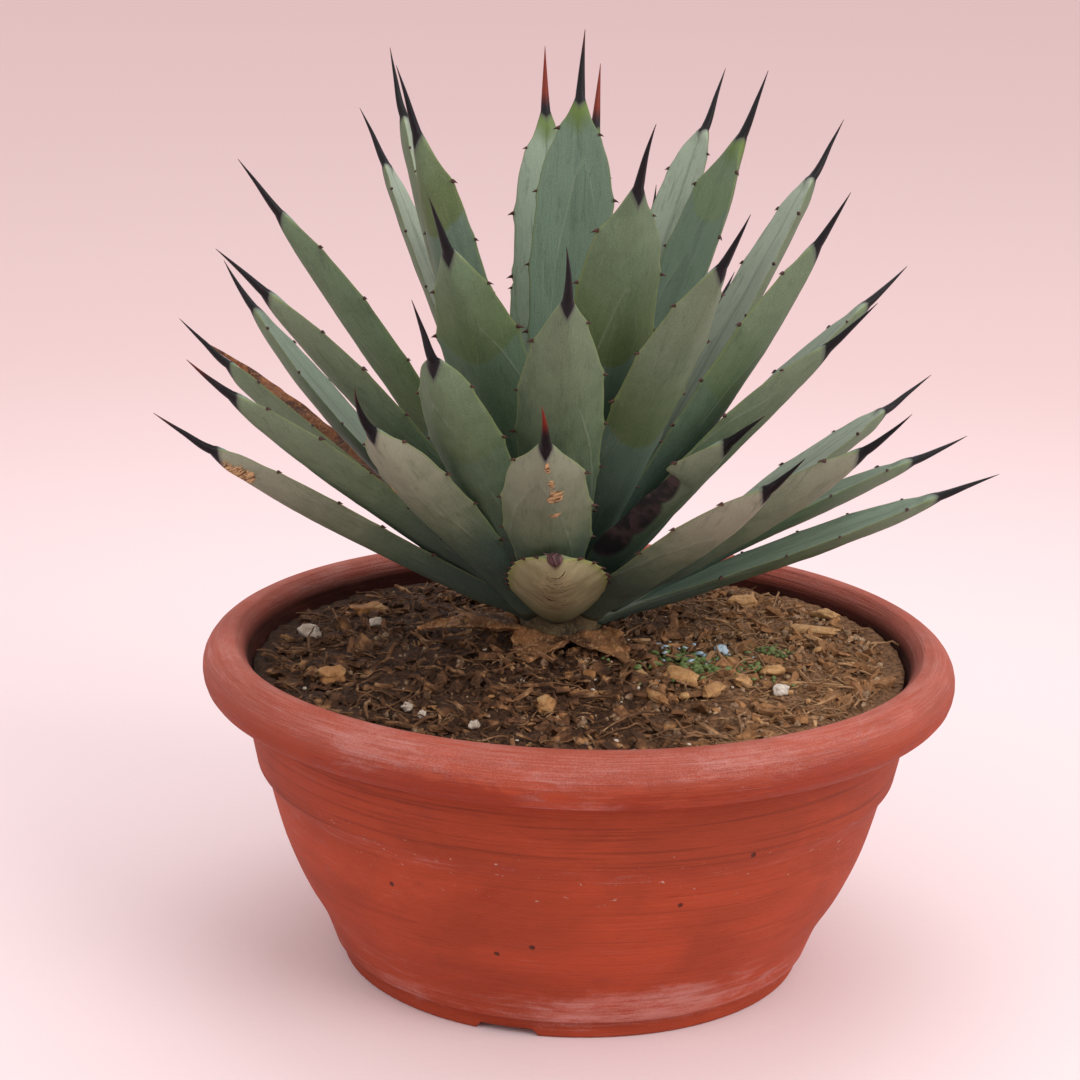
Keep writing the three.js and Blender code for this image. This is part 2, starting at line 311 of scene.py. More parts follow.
# The spine's dark foot runs down in a V: its length on the keel and on the upper face, and its half width
KEEL_V, FACE_V, V_HALF = 0.0058, 0.0036, 0.0034
NEIGHBOUR = ((0.2, 0.5, 0.8, 0.93, 1.0), (0.75, 0.8, 0.52, 0.25, 0))  # outline that a neighbour prints
TOP_POINTS, UNDER_POINTS = 15, 17
BLADE_STATIONS, SPINE_STATIONS = 64, 18

# What marks out a leaf. For each trait: its value on most leaves, and on the leaves numbered here
TRAITS = {
    # where a band rubbed bare starts, as a share of the blade
    "rub_at": (0.62, {
        23: 0.66, 25: 0.47, 26: 0.55, 29: 0.42, 30: 0.7, 31: 0.58, 32: 0.8, 37: 0.78,
    }),
    # how bare that band is
    "rub": (0.0, {
        23: 0.25, 25: 0.9, 26: 0.4, 29: 0.8, 30: 0.6, 31: 1.0, 32: 0.6, 37: 1.0,
    }),
    # waxy bloom on the outer face
    "bloom": (0.4, {
        2: 0.9, 5: 1.0, 6: 0.9, 13: 0.5, 14: 0.9, 15: 0.84, 16: 0.8, 17: 0.65, 19: 0.3, 22: 0.55,
        23: 0.2, 24: 0.45, 25: 0.6, 26: 0.4, 29: 0.2, 30: 0.12, 31: 0.22, 32: 0.3, 34: 0.2,
        35: 0.2, 37: 0.3, 38: 0.3,
    }),
    # red at the spine's tip
    "red": (0.0, {
        1: 0.6, 2: 0.3, 13: 0.6, 14: 0.25, 15: 1.0, 34: 1.6, 35: 1.6, 38: 0.3,
    }),
    "neck": (0.0, {32: 0.8, 34: 1.0, 35: 1.0, 38: 1.0}),  # yellow-green under the spine
    "curl": (0.0, {1: 1.6, 14: -0.9, 24: 0.3}),  # how far the spine bends aside
    # how pale the inner face is
    "pale": (0.3, {
        9: 0.7, 18: 0.6, 27: 1.0, 28: 1.0, 32: 0.0, 33: 0.9, 35: 0.6, 36: 0.9, 38: 0.0,
    }),
}
# The damaged leaf has lost this share of one half's width: places up the blade, and shares
DAMAGED, LOST = "leaf_16", ((0.30, 0.45, 0.68, 0.76, 0.795), (0.0, 0.34, 0.62, 0.58, 0.0))
# Corky scars and dark bruises: leaf, kind, place up the blade and across it, and their half sizes
MARKS = [
    ("leaf_15", "scar", 0.93, -0.12, 0.030, 0.14),
    ("leaf_15", "scar", 0.86, -0.22, 0.030, 0.10),
    ("leaf_15", "scar", 0.79, -0.26, 0.036, 0.20),
    ("leaf_15", "scar", 0.69, -0.24, 0.014, 0.12),
    ("leaf_02", "scar", 0.92, -0.2, 0.05, 0.5),
    ("leaf_14", "scar", 0.70, 0.72, 0.025, 0.16),
    ("leaf_16", "bruise", 0.68, 1.00, 0.09, 0.50),
    ("leaf_16", "bruise", 0.53, 0.90, 0.12, 0.60),
    ("leaf_16", "bruise", 0.38, 0.85, 0.09, 0.50),
]


def crown_point():
    low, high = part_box("stem")
    return np.array([(low.x + high.x) / 2, (low.y + high.y) / 2, (low.z + high.z) / 2])


def rings_of(node):
    """A CAD leaf's whole rings of points, from the tip of its spine down to where a neighbour cuts it."""
    points = mesh_points(node)
    crown = crown_point()
    tip = points[np.argmax(np.linalg.norm(points - crown, axis=1))]
    down = (tip - points) @ unit(tip - crown)
    order = np.argsort(down)
    parts = np.split(points[order], np.where(np.diff(down[order]) > RING_GAP)[0] + 1)
    whole = next((i for i, part in enumerate(parts) if len(part) != RING_POINTS), len(parts))
    return parts[:whole]


def ring_measures(ring):
    """Middle of the two margins, way towards the upper face, half width and depth of the flesh."""
    apart = np.linalg.norm(ring[:, None] - ring[None], axis=2)
    a, b = np.unravel_index(np.argmax(apart), apart.shape)
    middle, across = (ring[a] + ring[b]) / 2, unit(ring[b] - ring[a])
    off = ring - middle
    off = off - np.outer(off @ across, across)
    keel = np.argmax(np.linalg.norm(off, axis=1))
    depth = np.linalg.norm(off[keel])
    return middle, -off[keel] / depth, apart.max() / 2, depth


@functools.lru_cache(maxsize=None)
def leaf_form(node):
    """Stations down a leaf from the tip of its spine, each with its middle, upward way, half width and
    depth, and where the spine's foot is. Below the rings that the CAD keeps whole it follows their curve."""
    rings = rings_of(node)
    if len(rings) < SPINE_RINGS + 3:
        raise RuntimeError(f"{node} has too few whole rings to follow")
    blade = [ring_measures(ring) for ring in rings[SPINE_RINGS:]]
    spine = [ring.mean(axis=0) for ring in rings[:SPINE_RINGS]]
    middles = np.array(spine + [m for m, _, _, _ in blade])
    ways = [blade[0][1]] * SPINE_RINGS + [w for _, w, _, _ in blade]
    spine_radius = np.linalg.norm(rings[SPINE_RINGS - 1] - spine[-1], axis=1).max()
    halves = [0.0] * (SPINE_RINGS - 1) + [spine_radius] + [h for _, _, h, _ in blade]
    depths = [0.0] * (SPINE_RINGS - 1) + [spine_radius] + [d for _, _, _, d in blade]
    down = np.concatenate([[0], np.cumsum(np.linalg.norm(np.diff(middles, axis=0), axis=1))])
    curve = np.polyfit(down[SPINE_RINGS - 1:], middles[SPINE_RINGS - 1:], 2)
    low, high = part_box("stem")
    rise = math.asin(float(np.clip(unit(middles[0] - middles[-1])[2], -1, 1)))
    steepness = min(1.0, rise / STEEP_RISE)
    base_height = low.z + (high.z - low.z) * (LEVEL_BASE + STEEP_CLIMB * steepness)
    at, extra = down[-1], []
    while True:
        at += FOOT_STEP
        point = np.array([np.polyval(curve[:, k], at) for k in range(3)])
        if point[2] < base_height or len(extra) > MOST_FOOT_STEPS:
            break
        extra.append((at, point))
    foot_at = down[SPINE_RINGS - 1]
    base_at = extra[-1][0] if extra else down[-1]
    widest = max(halves)
    for at, point in extra:
        up_blade = (base_at - at) / (base_at - foot_at)
        half = widest * float(np.interp(up_blade, *FOOT_SHARES))
        halves.append(half)
        depths.append(FOOT_DEPTH * half)
        ways.append(ways[-1])
    down = np.concatenate([down, [at for at, _ in extra]])
    middles = np.vstack([middles] + [point[None] for _, point in extra])
    return down, middles, np.array(ways), np.array(halves), np.array(depths), foot_at, base_at


def tooth_places(node, foot_at, base_at, spacing):
    """For each margin, distances down from the spine's tip at which a tooth stands, and its size."""
    chance = random.Random(node)
    spacing *= 0.32 if node == STUNTED else 1
    places = []
    for side in (-1, 1):
        at = foot_at + chance.uniform(0.45, 0.95) * spacing
        while at < base_at - 0.25 * (base_at - foot_at):
            places.append((at, side, chance.uniform(0.75, 1.15)))
            at += spacing * chance.uniform(0.86, 1.14)
    return places


def section(top, half, depth, roundness):
    """One side of a leaf's cross-section, as places across and heights: flat blade to round spine."""
    if top:
        x = np.sin(np.linspace(-math.pi / 2, math.pi / 2, TOP_POINTS))
    else:
        x = np.sin(np.linspace(math.pi / 2, -math.pi / 2, UNDER_POINTS + 2))[1:-1]
    bow = np.sqrt(np.clip(1 - x * x, 0, 1))
    lip = LIP * bow
    if top:
        flat = -HOLLOW * half * (1 - x * x) + lip
        return x, flat * (1 - roundness) + 0.8 * half * bow * roundness
    flat = -depth * (1 - np.abs(x) ** 1.7) - lip
    return x, flat * (1 - roundness) - half * bow * roundness


@functools.lru_cache(maxsize=None)
def leaf_surface(node):
    """Points, attributes and teeth of a fine leaf."""
    settings = bpy.context.scene.agave_leaves
    down, middles, ways, halves, depths, foot_at, base_at = leaf_form(node)
    number = int(node[-2:])
    look = {trait: own.get(number, usual) for trait, (usual, own) in TRAITS.items()}
    chance = random.Random(number)
    spine_rows = foot_at * np.linspace(0.012, 1, SPINE_STATIONS) ** 0.9
    blade_share = np.linspace(0, 1, BLADE_STATIONS + 1)[1:]
    blade_rows = foot_at + (base_at - foot_at) * (0.35 * blade_share**2 + 0.65 * blade_share)
    rows = np.concatenate([spine_rows, blade_rows])
    centre = smooth_through(down, middles, rows)
    upward = smooth_through(down, ways, rows)
    toward_base = unit(np.gradient(centre, rows, axis=0))
    upward = unit(upward - np.sum(upward * toward_base, axis=1, keepdims=True) * toward_base)
    across = np.cross(upward, toward_base)

    first_blade = down[SPINE_RINGS]
    half = np.where(rows < foot_at, 0.0, smooth_through(down[2:], halves[2:], np.maximum(rows, foot_at)))
    depth = np.where(rows < foot_at, 0.0, smooth_through(down[2:], depths[2:], np.maximum(rows, foot_at)))
    spine_half = halves[SPINE_RINGS - 1] * np.minimum(rows / foot_at, 1) ** 1.06 + 0.00008
    if node == STUNTED:
        share = np.minimum(rows / foot_at, 1)
        knob = np.where(share < 0.42, 0.9 * share, 0.38 + 1.15 * np.sin((share - 0.42) * 4.3))
        spine_half = halves[SPINE_RINGS - 1] * knob
    half = np.maximum(half, spine_half)
    depth = np.maximum(depth, spine_half)
    roundness = 1 - np.clip((rows - foot_at * 0.97) / (first_blade - foot_at * 0.97), 0, 1) ** 1.2

    # the spine curves a little of its own
    q = np.clip(1 - rows / foot_at, 0, 1)[:, None]
    lean = SPINE_BEND * chance.uniform(-1, 1) + SPINE_CURL * look["curl"]
    lift = SPINE_LIFT * chance.uniform(-0.4, 1)
    centre = centre + across * lean * q**2 + upward * lift * q**2
    if node == DEAD:
        half = half * (0.82 + 0.14 * np.sin(rows * 260))
        depth = depth * (0.72 + 0.2 * np.sin(rows * 190 + 1))
        centre = centre + across * (0.0022 * np.sin(rows * 75) * np.minimum(1, rows / 0.06))[:, None]

    points, sides, xs = [], [], []
    for k in range(len(rows)):
        x_top, y_top = section(True, half[k], depth[k], roundness[k])
        x_low, y_low = section(False, half[k], depth[k], roundness[k])
        x, y = np.concatenate([x_top, x_low]), np.concatenate([y_top, y_low])
        points.append(centre[k] + np.outer(x * half[k], across[k]) + np.outer(y, upward[k]))
        sides.append(np.concatenate([np.ones(TOP_POINTS), -np.ones(UNDER_POINTS)]))
        sides[-1][[0, TOP_POINTS - 1]] = 0
        xs.append(x)
    count = TOP_POINTS + UNDER_POINTS
    points, sides, xs = np.vstack(points), np.concatenate(sides), np.concatenate(xs)
    row_of = np.repeat(np.arange(len(rows)), count)

    up_blade = (base_at - rows) / (base_at - foot_at)
    lost = np.interp(up_blade, *LOST) if node == DAMAGED else np.zeros(len(rows))
    points -= across[row_of] * (lost * half)[row_of, None] * np.clip(xs, 0, 1)[:, None]

    # bumps on the margins, each under a tooth
    teeth = []
    for at, side, size in tooth_places(node, foot_at, base_at, settings.tooth_spacing):
        bump = BUMP_HEIGHT * size * np.exp(-(((rows - at) / BUMP_REACH) ** 2))
        weight = np.clip(side * xs, 0, 1) ** 6
        points += across[row_of] * (side * bump[row_of] * weight)[:, None]
        k = int(np.argmin(np.abs(rows - at)))
        if side > 0 and lost[k] > 0:
            continue
        foot = centre[k] + across[k] * side * (half[k] + 0.0005 * size)
        teeth.append((foot, across[k] * side, toward_base[k], size))

    # the flesh is never quite even
    blade_weight = np.clip((rows - foot_at) / 0.02, 0, 1)[row_of]
    ripples = DEAD_RIPPLES if node == DEAD else LIVE_RIPPLES
    wrinkle = sum(height * ripple(points, size, number) for height, size in ripples)
    points += upward[row_of] * (wrinkle * blade_weight * (1 - np.abs(xs) ** 4))[:, None]

    along = np.where(rows < foot_at, 2 - rows / foot_at, up_blade)[row_of]
    edge = half[row_of]
    v_length = np.where(sides < 0, KEEL_V, FACE_V) * (1 - np.clip(np.abs(xs) * edge / V_HALF, 0, 1))
    v_length *= 0.25 if node == STUNTED else 1
    spine = foot_at + v_length - rows[row_of]
    # the outline of a neighbour, pressed into the face while both were in the bud
    drift, shift = chance.uniform(-0.35, 0.35), chance.uniform(0.10, 0.26)
    other = np.interp(along + shift, *NEIGHBOUR)
    imprint = (other - np.abs(xs - drift)) * edge
    attributes = {
        "along": along,
        "across": xs,
        "side": sides,
        "run": base_at - rows[row_of],
        "reach": xs * edge,
        "spine": spine,
        "imprint": imprint,
        "seed": np.full(len(points), number * 0.37),
    }
    for key, value in look.items():
        attributes[key] = np.full(len(points), value)
    for key in ("scar", "bruise"):
        attributes[key] = np.zeros(len(points))
    for leaf, key, up, aside, tall, wide in MARKS:
        if leaf == node:
            reach = np.hypot((along - up) / tall, (xs - aside) / wide)
            attributes[key] = np.maximum(attributes[key], np.clip(1.5 - reach, 0, 1))
    return points, len(rows), count, attributes, teeth


def leaf_material():
    settings = bpy.context.scene.agave_leaves
    material, t, shader, place = new_material("agave leaf")
    along, across, side, run, reach, spine, imprint, seed, scar, bruise = (
        t.attribute(key)
        for key in ("along", "across", "side", "run", "reach", "spine", "imprint", "seed", "scar", "bruise")
    )
    traits = {key: t.attribute(key) for key in TRAITS}
    inner_side = t.step(side, -0.15, 0.15)
    edge = t.math("ABSOLUTE", across)
    grain = t.noise(t.vector(reach, run * 0.045, seed), 1500.0, 4.0, 0.6)
    speckle = t.noise(place, 3300.0, 2.0, 0.6)
    mottle = t.noise(place, 120.0, 3.0, 0.6, 0.4)
    patch = t.noise(t.vector(reach, run * 0.4, seed), 55.0, 3.0, 0.6, 0.6)
    uneven = mottle * 0.6 + patch * 0.4

    # outer face: green under a grey bloom thickening towards the tip; blue-green at the foot, darkened there
    # by painted shade near the stem
    green = t.mix(t.step(uneven, 0.3, 0.7), settings.outer, shade(settings.outer, 1.35))
    bloomed = t.step(along + (uneven - 0.5) * 0.6, 0.25, 0.95) * traits["bloom"]
    waxy = t.mix(t.step(traits["bloom"], 0.65, 1.0), settings.bloom, settings.dust)
    outer = t.mix(bloomed * 0.9, green, waxy)
    outer = t.mix(t.step(along + (patch - 0.5) * 0.25, 0.60, 0.25), outer, settings.foot)
    # a band rubbed bare, sharp below and fading upwards, with the bloom left whole under it
    level = along - traits["rub_at"] - across * across * 0.05 + (mottle - 0.5) * 0.035
    under = t.step(level, 0.004, -0.006) * t.step(level, -0.30, -0.02) * traits["rub"]
    outer = t.mix(under * 0.65, outer, shade(settings.foot, 1.45))
    band = t.step(level, -0.006, 0.008) * t.step(level, 0.26, 0.03) * traits["rub"]
    outer = t.mix(band * (0.50 + 0.4 * uneven), outer, settings.rubbed)

    # inner face: paler, with a darker midrib groove and faint streaks
    streak = t.step(grain, 0.30, 0.75)
    tone = t.mix(traits["pale"], settings.inner, settings.pale)
    inner = t.mix(streak * 0.25 + uneven * 0.5, t.mix(0.28, tone, (0.0, 0.0, 0.0)), tone)
    inner = t.mix(t.step(edge, 0.14, 0.0) * 0.35, inner, settings.foot)
    # bluer and darker towards the foot, partly painted shade where the leaves crowd round the stem
    inner = t.mix(t.step(along, 0.5, 0.1) * 0.6, inner, shade(settings.foot, 1.5))
    inner = t.mix(band * 0.7, inner, shade(settings.rubbed, 1.6))
    skin = t.mix(inner_side, outer, inner)

    # prints of the neighbours, a faint pale line and a slight change of tone inside it
    line = t.step(t.math("ABSOLUTE", imprint), 0.0007, 0.0) * t.step(patch, 0.42, 0.60)
    skin = t.mix(t.step(imprint, -0.0008, 0.0008) * 0.14, skin, shade(settings.outer, 0.6))
    skin = t.mix(line * 0.22, skin, (0.30, 0.33, 0.25))

    # creases, speckles, fine streaks and the horny margin
    crease = t.noise(t.vector(reach, run * 0.16, seed), 420.0, 4.0, 0.65, 0.8)
    skin = t.mix(t.step(crease, 0.47, 0.33) * 0.30, skin, shade(settings.outer, 0.55))
    skin = t.mix(t.step(crease, 0.56, 0.70) * 0.09, skin, (0.300, 0.330, 0.235))
    skin = t.mix(t.step(speckle, 0.50, 0.80) * 0.34, skin, (0.38, 0.40, 0.31))
    skin = t.mix(t.step(speckle, 0.46, 0.24) * 0.45, skin, (0.030, 0.045, 0.024))
    skin = t.mix(t.step(grain, 0.45, 0.2) * 0.18, skin, settings.foot)
    skin = t.mix(t.step(edge, 0.935, 0.99) * (0.25 + 0.5 * mottle), skin, settings.margin)
    skin = t.mix(t.step(spine, -0.014, -0.003) * traits["neck"] * 0.8, skin, (0.105, 0.165, 0.022))

    # corky scars with cracks across them, and bruises
    crack = t.noise(t.vector(reach * 0.35, run, seed), 900.0, 3.0, 0.7)
    cork = t.step(scar + (mottle - 0.5) * 1.3 + (crack - 0.5) * 0.9, 0.42, 0.66)
    skin = t.mix(cork, skin, t.mix(t.step(crack, 0.40, 0.56), (0.10, 0.045, 0.020), (0.52, 0.34, 0.17)))
    dark = t.step(bruise + (uneven - 0.5) * 0.7, 0.30, 0.62)
    purple = t.mix(t.step(mottle, 0.42, 0.62), (0.017, 0.010, 0.016), (0.068, 0.034, 0.042))
    skin = t.mix(dark * 0.92, skin, purple)

    # the spine and its dark foot
    near = spine + (grain - 0.5) * 0.0014
    skin = t.mix(t.step(near, -0.0030, 0.0004) * 0.6, skin, (0.060, 0.055, 0.062))
    horn = t.mix(t.step(grain, 0.50, 0.80), (0.0040, 0.0030, 0.0045), (0.020, 0.014, 0.018))
    reddened = t.step(along + traits["red"] * 0.4, 1.65, 2.1) * traits["red"]
    horn = t.mix(reddened * 0.9, horn, (0.170, 0.020, 0.009))
    horn = t.mix(t.step(along, 1.75, 1.98) * 0.30, horn, (0.10, 0.045, 0.025))
    on_spine = t.step(near, -0.0004, 0.0012)
    skin = t.mix(on_spine, skin, horn)

    rough = 0.56 + (speckle - 0.5) * 0.16 + bloomed * 0.08 + cork * 0.2 - on_spine * 0.17
    height = grain * 0.30 + speckle * 0.20 + mottle * 0.4 + crease * 0.8 + cork * crack * 1.8 + line * 0.3
    finish_surface(t, shader, skin, rough, height, 0.00042)
    return material


def stunted_material():
    """Pale leaf with curved cracks below its stub."""
    material, t, shader, place = new_material("stunted leaf")
    along, across, side, run, reach, spine, seed = (
        t.attribute(key) for key in ("along", "across", "side", "run", "reach", "spine", "seed")
    )
    grain = t.noise(t.vector(reach, run * 0.08, seed), 1300.0, 3.0, 0.6)
    speckle = t.noise(place, 3000.0, 2.0, 0.6)
    mottle = t.noise(place, 110.0, 3.0, 0.6, 0.5)
    wobble = t.noise(t.vector(reach, run * 0.3, seed), 170.0, 2.0, 0.5)
    arcs = run * 165.0 - across * across * 1.3 + wobble * 1.8
    phase = t.math("ABSOLUTE", t.math("FRACT", arcs) - 0.5)
    edge = t.math("ABSOLUTE", across)
    cracked = t.step(along, 0.30, 0.45) * t.step(along, 0.99, 0.90) * t.step(edge, 0.62, 0.25)
    broken = t.step(t.noise(t.vector(reach, run * 3, seed), 150.0, 2.0, 0.5), 0.44, 0.54)
    crack = t.step(phase, 0.085, 0.02) * cracked * broken
    skin = t.mix(t.step(mottle, 0.3, 0.7), (0.270, 0.245, 0.130), (0.380, 0.345, 0.200))
    skin = t.mix(t.step(along, 0.45, 0.1), skin, (0.150, 0.160, 0.085))
    skin = t.mix(t.step(phase, 0.32, 0.05) * cracked * 0.55, skin, (0.560, 0.420, 0.220))
    skin = t.mix(t.step(speckle, 0.42, 0.2) * 0.3, skin, (0.10, 0.08, 0.03))
    skin = t.mix(t.step(edge, 0.86, 0.98) * 0.7, skin, (0.24, 0.27, 0.08))
    skin = t.mix(crack, skin, (0.045, 0.022, 0.012))
    skin = t.mix(t.step(side, -0.15, 0.15) * 0.6, skin, (0.10, 0.14, 0.08))
    near = spine + (grain - 0.5) * 0.002
    stub = t.mix(t.step(grain, 0.35, 0.7), (0.030, 0.013, 0.016), (0.140, 0.070, 0.066))
    on_spine = t.step(near, -0.002, 0.001)
    skin = t.mix(on_spine, skin, stub)
    height = grain * 0.3 + speckle * 0.3 + mottle * 0.3 - crack * 2.2 + on_spine * grain
    finish_surface(t, shader, skin, 0.6 + (speckle - 0.5) * 0.2, height, 0.0003)
    return material


def dry_material(name, light, mid, dark):
    """Papery dried leaf, streaked lengthways by wear along its fibres."""
    material, t, shader, place = new_material(name)
    fibres = t.noise(t.stretched(place, 1.0, 0.35, 1.0), 900.0, 4.0, 0.65, 0.5)
    blotch = t.noise(place, 90.0, 4.0, 0.6, 0.8)
    fine = t.noise(place, 2600.0, 2.0, 0.6)
    skin = t.mix(t.step(blotch, 0.35, 0.62), dark, mid)
    skin = t.mix(t.step(fibres, 0.45, 0.72) * 0.7, skin, light)
    skin = t.mix(t.step(fine, 0.42, 0.22) * 0.4, skin, shade(dark, 0.4))
    height = fibres * 0.8 + blotch * 0.5 + fine * 0.25
    finish_surface(t, shader, skin, 0.72 + (blotch - 0.5) * 0.25, height, 0.0006)
    return material


def tooth_material():
    material, t, shader, place = new_material("horny tooth")
    grain = t.noise(place, 1800.0, 3.0, 0.6)
    skin = t.mix(t.step(grain, 0.35, 0.7), (0.020, 0.010, 0.009), (0.095, 0.040, 0.028))
    finish_surface(t, shader, skin, 0.42 + grain * 0.2, grain, 0.0001)
    return material


def new_group(name, *sockets):
    """A geometry node group with the given (name, kind) inputs after its geometry. Gives the group,
    its Tree and the inputs as Values."""
    group = bpy.data.node_groups.new(name, "GeometryNodeTree")
    sockets = (("Geometry", "Geometry"), *sockets)
    for label, kind in sockets:
        group.interface.new_socket(label, in_out="INPUT", socket_type="NodeSocket" + kind)
    group.interface.new_socket("Geometry", in_out="OUTPUT", socket_type="NodeSocketGeometry")
    t = Tree(group)
    given = group.nodes.new("NodeGroupInput").outputs
    return group, t, [Value(t, given[i]) for i in range(len(sockets))]


def close_group(group, t, geometry, material):
    """Gives the geometry its material and hands it to the group's output."""
    done = t.node("GeometryNodeSetMaterial", None, {"Geometry": geometry, "Material": material})
    t.feed(group.nodes.new("NodeGroupOutput").inputs[0], done)
    return group


def teeth_tree(material):
    """Curved cones standing on the points of a mesh, each turned by its own directions."""
    group, t, (points, tall, wide) = new_group(
        "margin teeth", ("Tooth length", "Float"), ("Tooth width", "Float")
    )
    cone = t.node(
        "GeometryNodeMeshCone", None,
        {"Vertices": 8, "Side Segments": 4, "Radius Top": 0.02, "Radius Bottom": 1.0, "Depth": 1.0},
    )
    spot = t.node("GeometryNodeInputPosition")
    parts = group.nodes.new("ShaderNodeSeparateXYZ")
    t.feed(parts.inputs[0], spot)
    height = Value(t, parts.outputs[2])
    hook = t.vector(height * height * 1.1, 0.0, 0.0)
    bent = t.node("GeometryNodeSetPosition", None, {"Geometry": cone, "Offset": hook})

    def named(name, kind):
        return t.node("GeometryNodeInputNamedAttribute", {"data_type": kind}, {"Name": name})

    turn = t.node(
        "FunctionNodeAxesToRotation", {"primary_axis": "Z", "secondary_axis": "X"},
        {0: named("out", "FLOAT_VECTOR"), 1: named("hook", "FLOAT_VECTOR")},
    )
    size = named("size", "FLOAT")
    scale = t.vector(wide * size, wide * size, tall * size)
    placed = t.node(
        "GeometryNodeInstanceOnPoints", None,
        {"Points": points, "Instance": bent, "Rotation": turn, "Scale": scale},
    )
    return close_group(group, t, t.node("GeometryNodeRealizeInstances", None, {0: placed}), material)


def baked(name, base, group, values):
    """The mesh that a node group makes of base, as a plain object; base is removed."""
    modifier = base.modifiers.new("nodes", "NODES")
    modifier.node_group = group
    for item in group.interface.items_tree:
        if item.in_out == "INPUT" and item.name in values:
            modifier[item.identifier] = values[item.name]
    seen = base.evaluated_get(bpy.context.evaluated_depsgraph_get())
    mesh = bpy.data.meshes.new_from_object(seen)
    mesh.name = name
    if not len(mesh.polygons):
        raise RuntimeError(f"{name} came out empty")
    base.modifiers.remove(modifier)
    bpy.data.objects.remove(base)
    return linked(name, mesh)


class AGAVE_OT_leaves(bpy.types.Operator):
    """Build the leaves, each with its spine"""
    bl_idname = "agave.leaves"
    bl_label = "Leaves"

    def execute(self, context):
        green, stunted = leaf_material(), stunted_material()
        dry = dry_material("dry leaf", (0.420, 0.190, 0.080), (0.230, 0.080, 0.030), (0.060, 0.022, 0.012))
        for node in LEAVES:
            points, rows, count, attributes, _ = leaf_surface(node)
            material = {STUNTED: stunted, DEAD: dry}.get(node, green)
            piece = new_piece(node + "_skin", points, tube_faces(rows, count), material, attributes)
            settle(piece, "dry_leaf" if node == DEAD else "leaf", node)
        return {"FINISHED"}


class AGAVE_OT_teeth(bpy.types.Operator):
    """Set a small hooked tooth on every bump of the leaf margins"""
    bl_idname = "agave.teeth"
    bl_label = "Margin teeth"

    def execute(self, context):
        teeth = [tooth for node in LEAVES if node != DEAD for tooth in leaf_surface(node)[4]]
        mesh = bpy.data.meshes.new("tooth places")
        mesh.from_pydata([tuple(t[0]) for t in teeth], [], [])
        for key, index in (("out", 1), ("hook", 2)):
            layer = mesh.attributes.new(key, "FLOAT_VECTOR", "POINT")
            layer.data.foreach_set("vector", np.array([t[index] for t in teeth], np.float32).ravel())
        layer = mesh.attributes.new("size", "FLOAT", "POINT")
        layer.data.foreach_set("value", np.array([t[3] for t in teeth], np.float32))
        base = linked("tooth places", mesh)
        tall = context.scene.agave_leaves.tooth_length
        sizes = {"Tooth length": tall, "Tooth width": tall * TOOTH_WIDTH}
        piece = baked("margin_teeth", base, teeth_tree(tooth_material()), sizes)
        piece.data.shade_smooth()
        settle(piece, "leaf")
        return {"FINISHED"}


# ---------------------------------------------------------------- dry stumps and stem

def roughened(node, name, material, edge, bumps):
    """A copy of a CAD node cut finely and pushed about by noise. bumps are (size, height, seed)."""
    work = bmesh.new()
    work.from_mesh(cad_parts[node].data)
    bmesh.ops.remove_doubles(work, verts=work.verts, dist=1e-5)
    for _ in range(6):
        long_edges = [e for e in work.edges if e.calc_length() > edge]
        if not long_edges:
            break
        bmesh.ops.subdivide_edges(work, edges=long_edges, cuts=1)
        bmesh.ops.triangulate(work, faces=[f for f in work.faces if len(f.verts) > 3])
    axes = dict.fromkeys(("use_axis_x", "use_axis_y", "use_axis_z"), True)
    bmesh.ops.smooth_vert(work, verts=work.verts, factor=0.5, **axes)
    work.normal_update()
    points = np.array([v.co for v in work.verts])
    push = sum(height * ripple(points, size, seed) for size, height, seed in bumps)
    for vert, amount in zip(work.verts, push):
        vert.co += vert.normal * float(amount)
    mesh = bpy.data.meshes.new(name)
    work.to_mesh(mesh)
    work.free()
    mesh.materials.append(material)
    mesh.shade_smooth()
    return linked(name, mesh)


class AGAVE_OT_stumps(bpy.types.Operator):
    """Build the dry stumps of old leaves and the stem that they cling to"""
    bl_idname = "agave.stumps"
    bl_label = "Dry stumps and stem"

    def execute(self, context):
        tones = (0.560, 0.330, 0.160), (0.300, 0.130, 0.050), (0.075, 0.032, 0.016)
        material = dry_material("dry stump", *tones)
        for seed, node in enumerate(STUMPS):
            bumps = ((0.011, 0.0022, seed), (0.004, 0.0011, seed + 5))
            settle(roughened(node, node + "_skin", material, 0.0022, bumps), "dry_leaf", node)
        bark = dry_material("stem", (0.200, 0.150, 0.080), (0.110, 0.075, 0.035), (0.040, 0.025, 0.014))
        bumps = ((0.006, 0.0005, 2), (0.002, 0.0002, 3))
        settle(roughened("stem", "stem_skin", bark, 0.004, bumps), "stem", "stem")
        return {"FINISHED"}


# ---------------------------------------------------------------- bowl

TURNS = 256
SHARP_TURN = math.radians(33)
LEDGE = (0.0775, 0.083)  # heights of the ledge's two edges
PROFILE_STEP = 0.0022
EDGE_ROUND = 0.0007
NOTCHES = (15, 135, 255)
NOTCH_HALF, NOTCH_HEIGHT = 0.0115, 0.003
WANDER, WANDER_SIZE = 0.0003, 0.05  # how far the hand-turned wall strays, and over what distance
INNER_FLOOR = 0.012  # lowest height of the bowl's inside


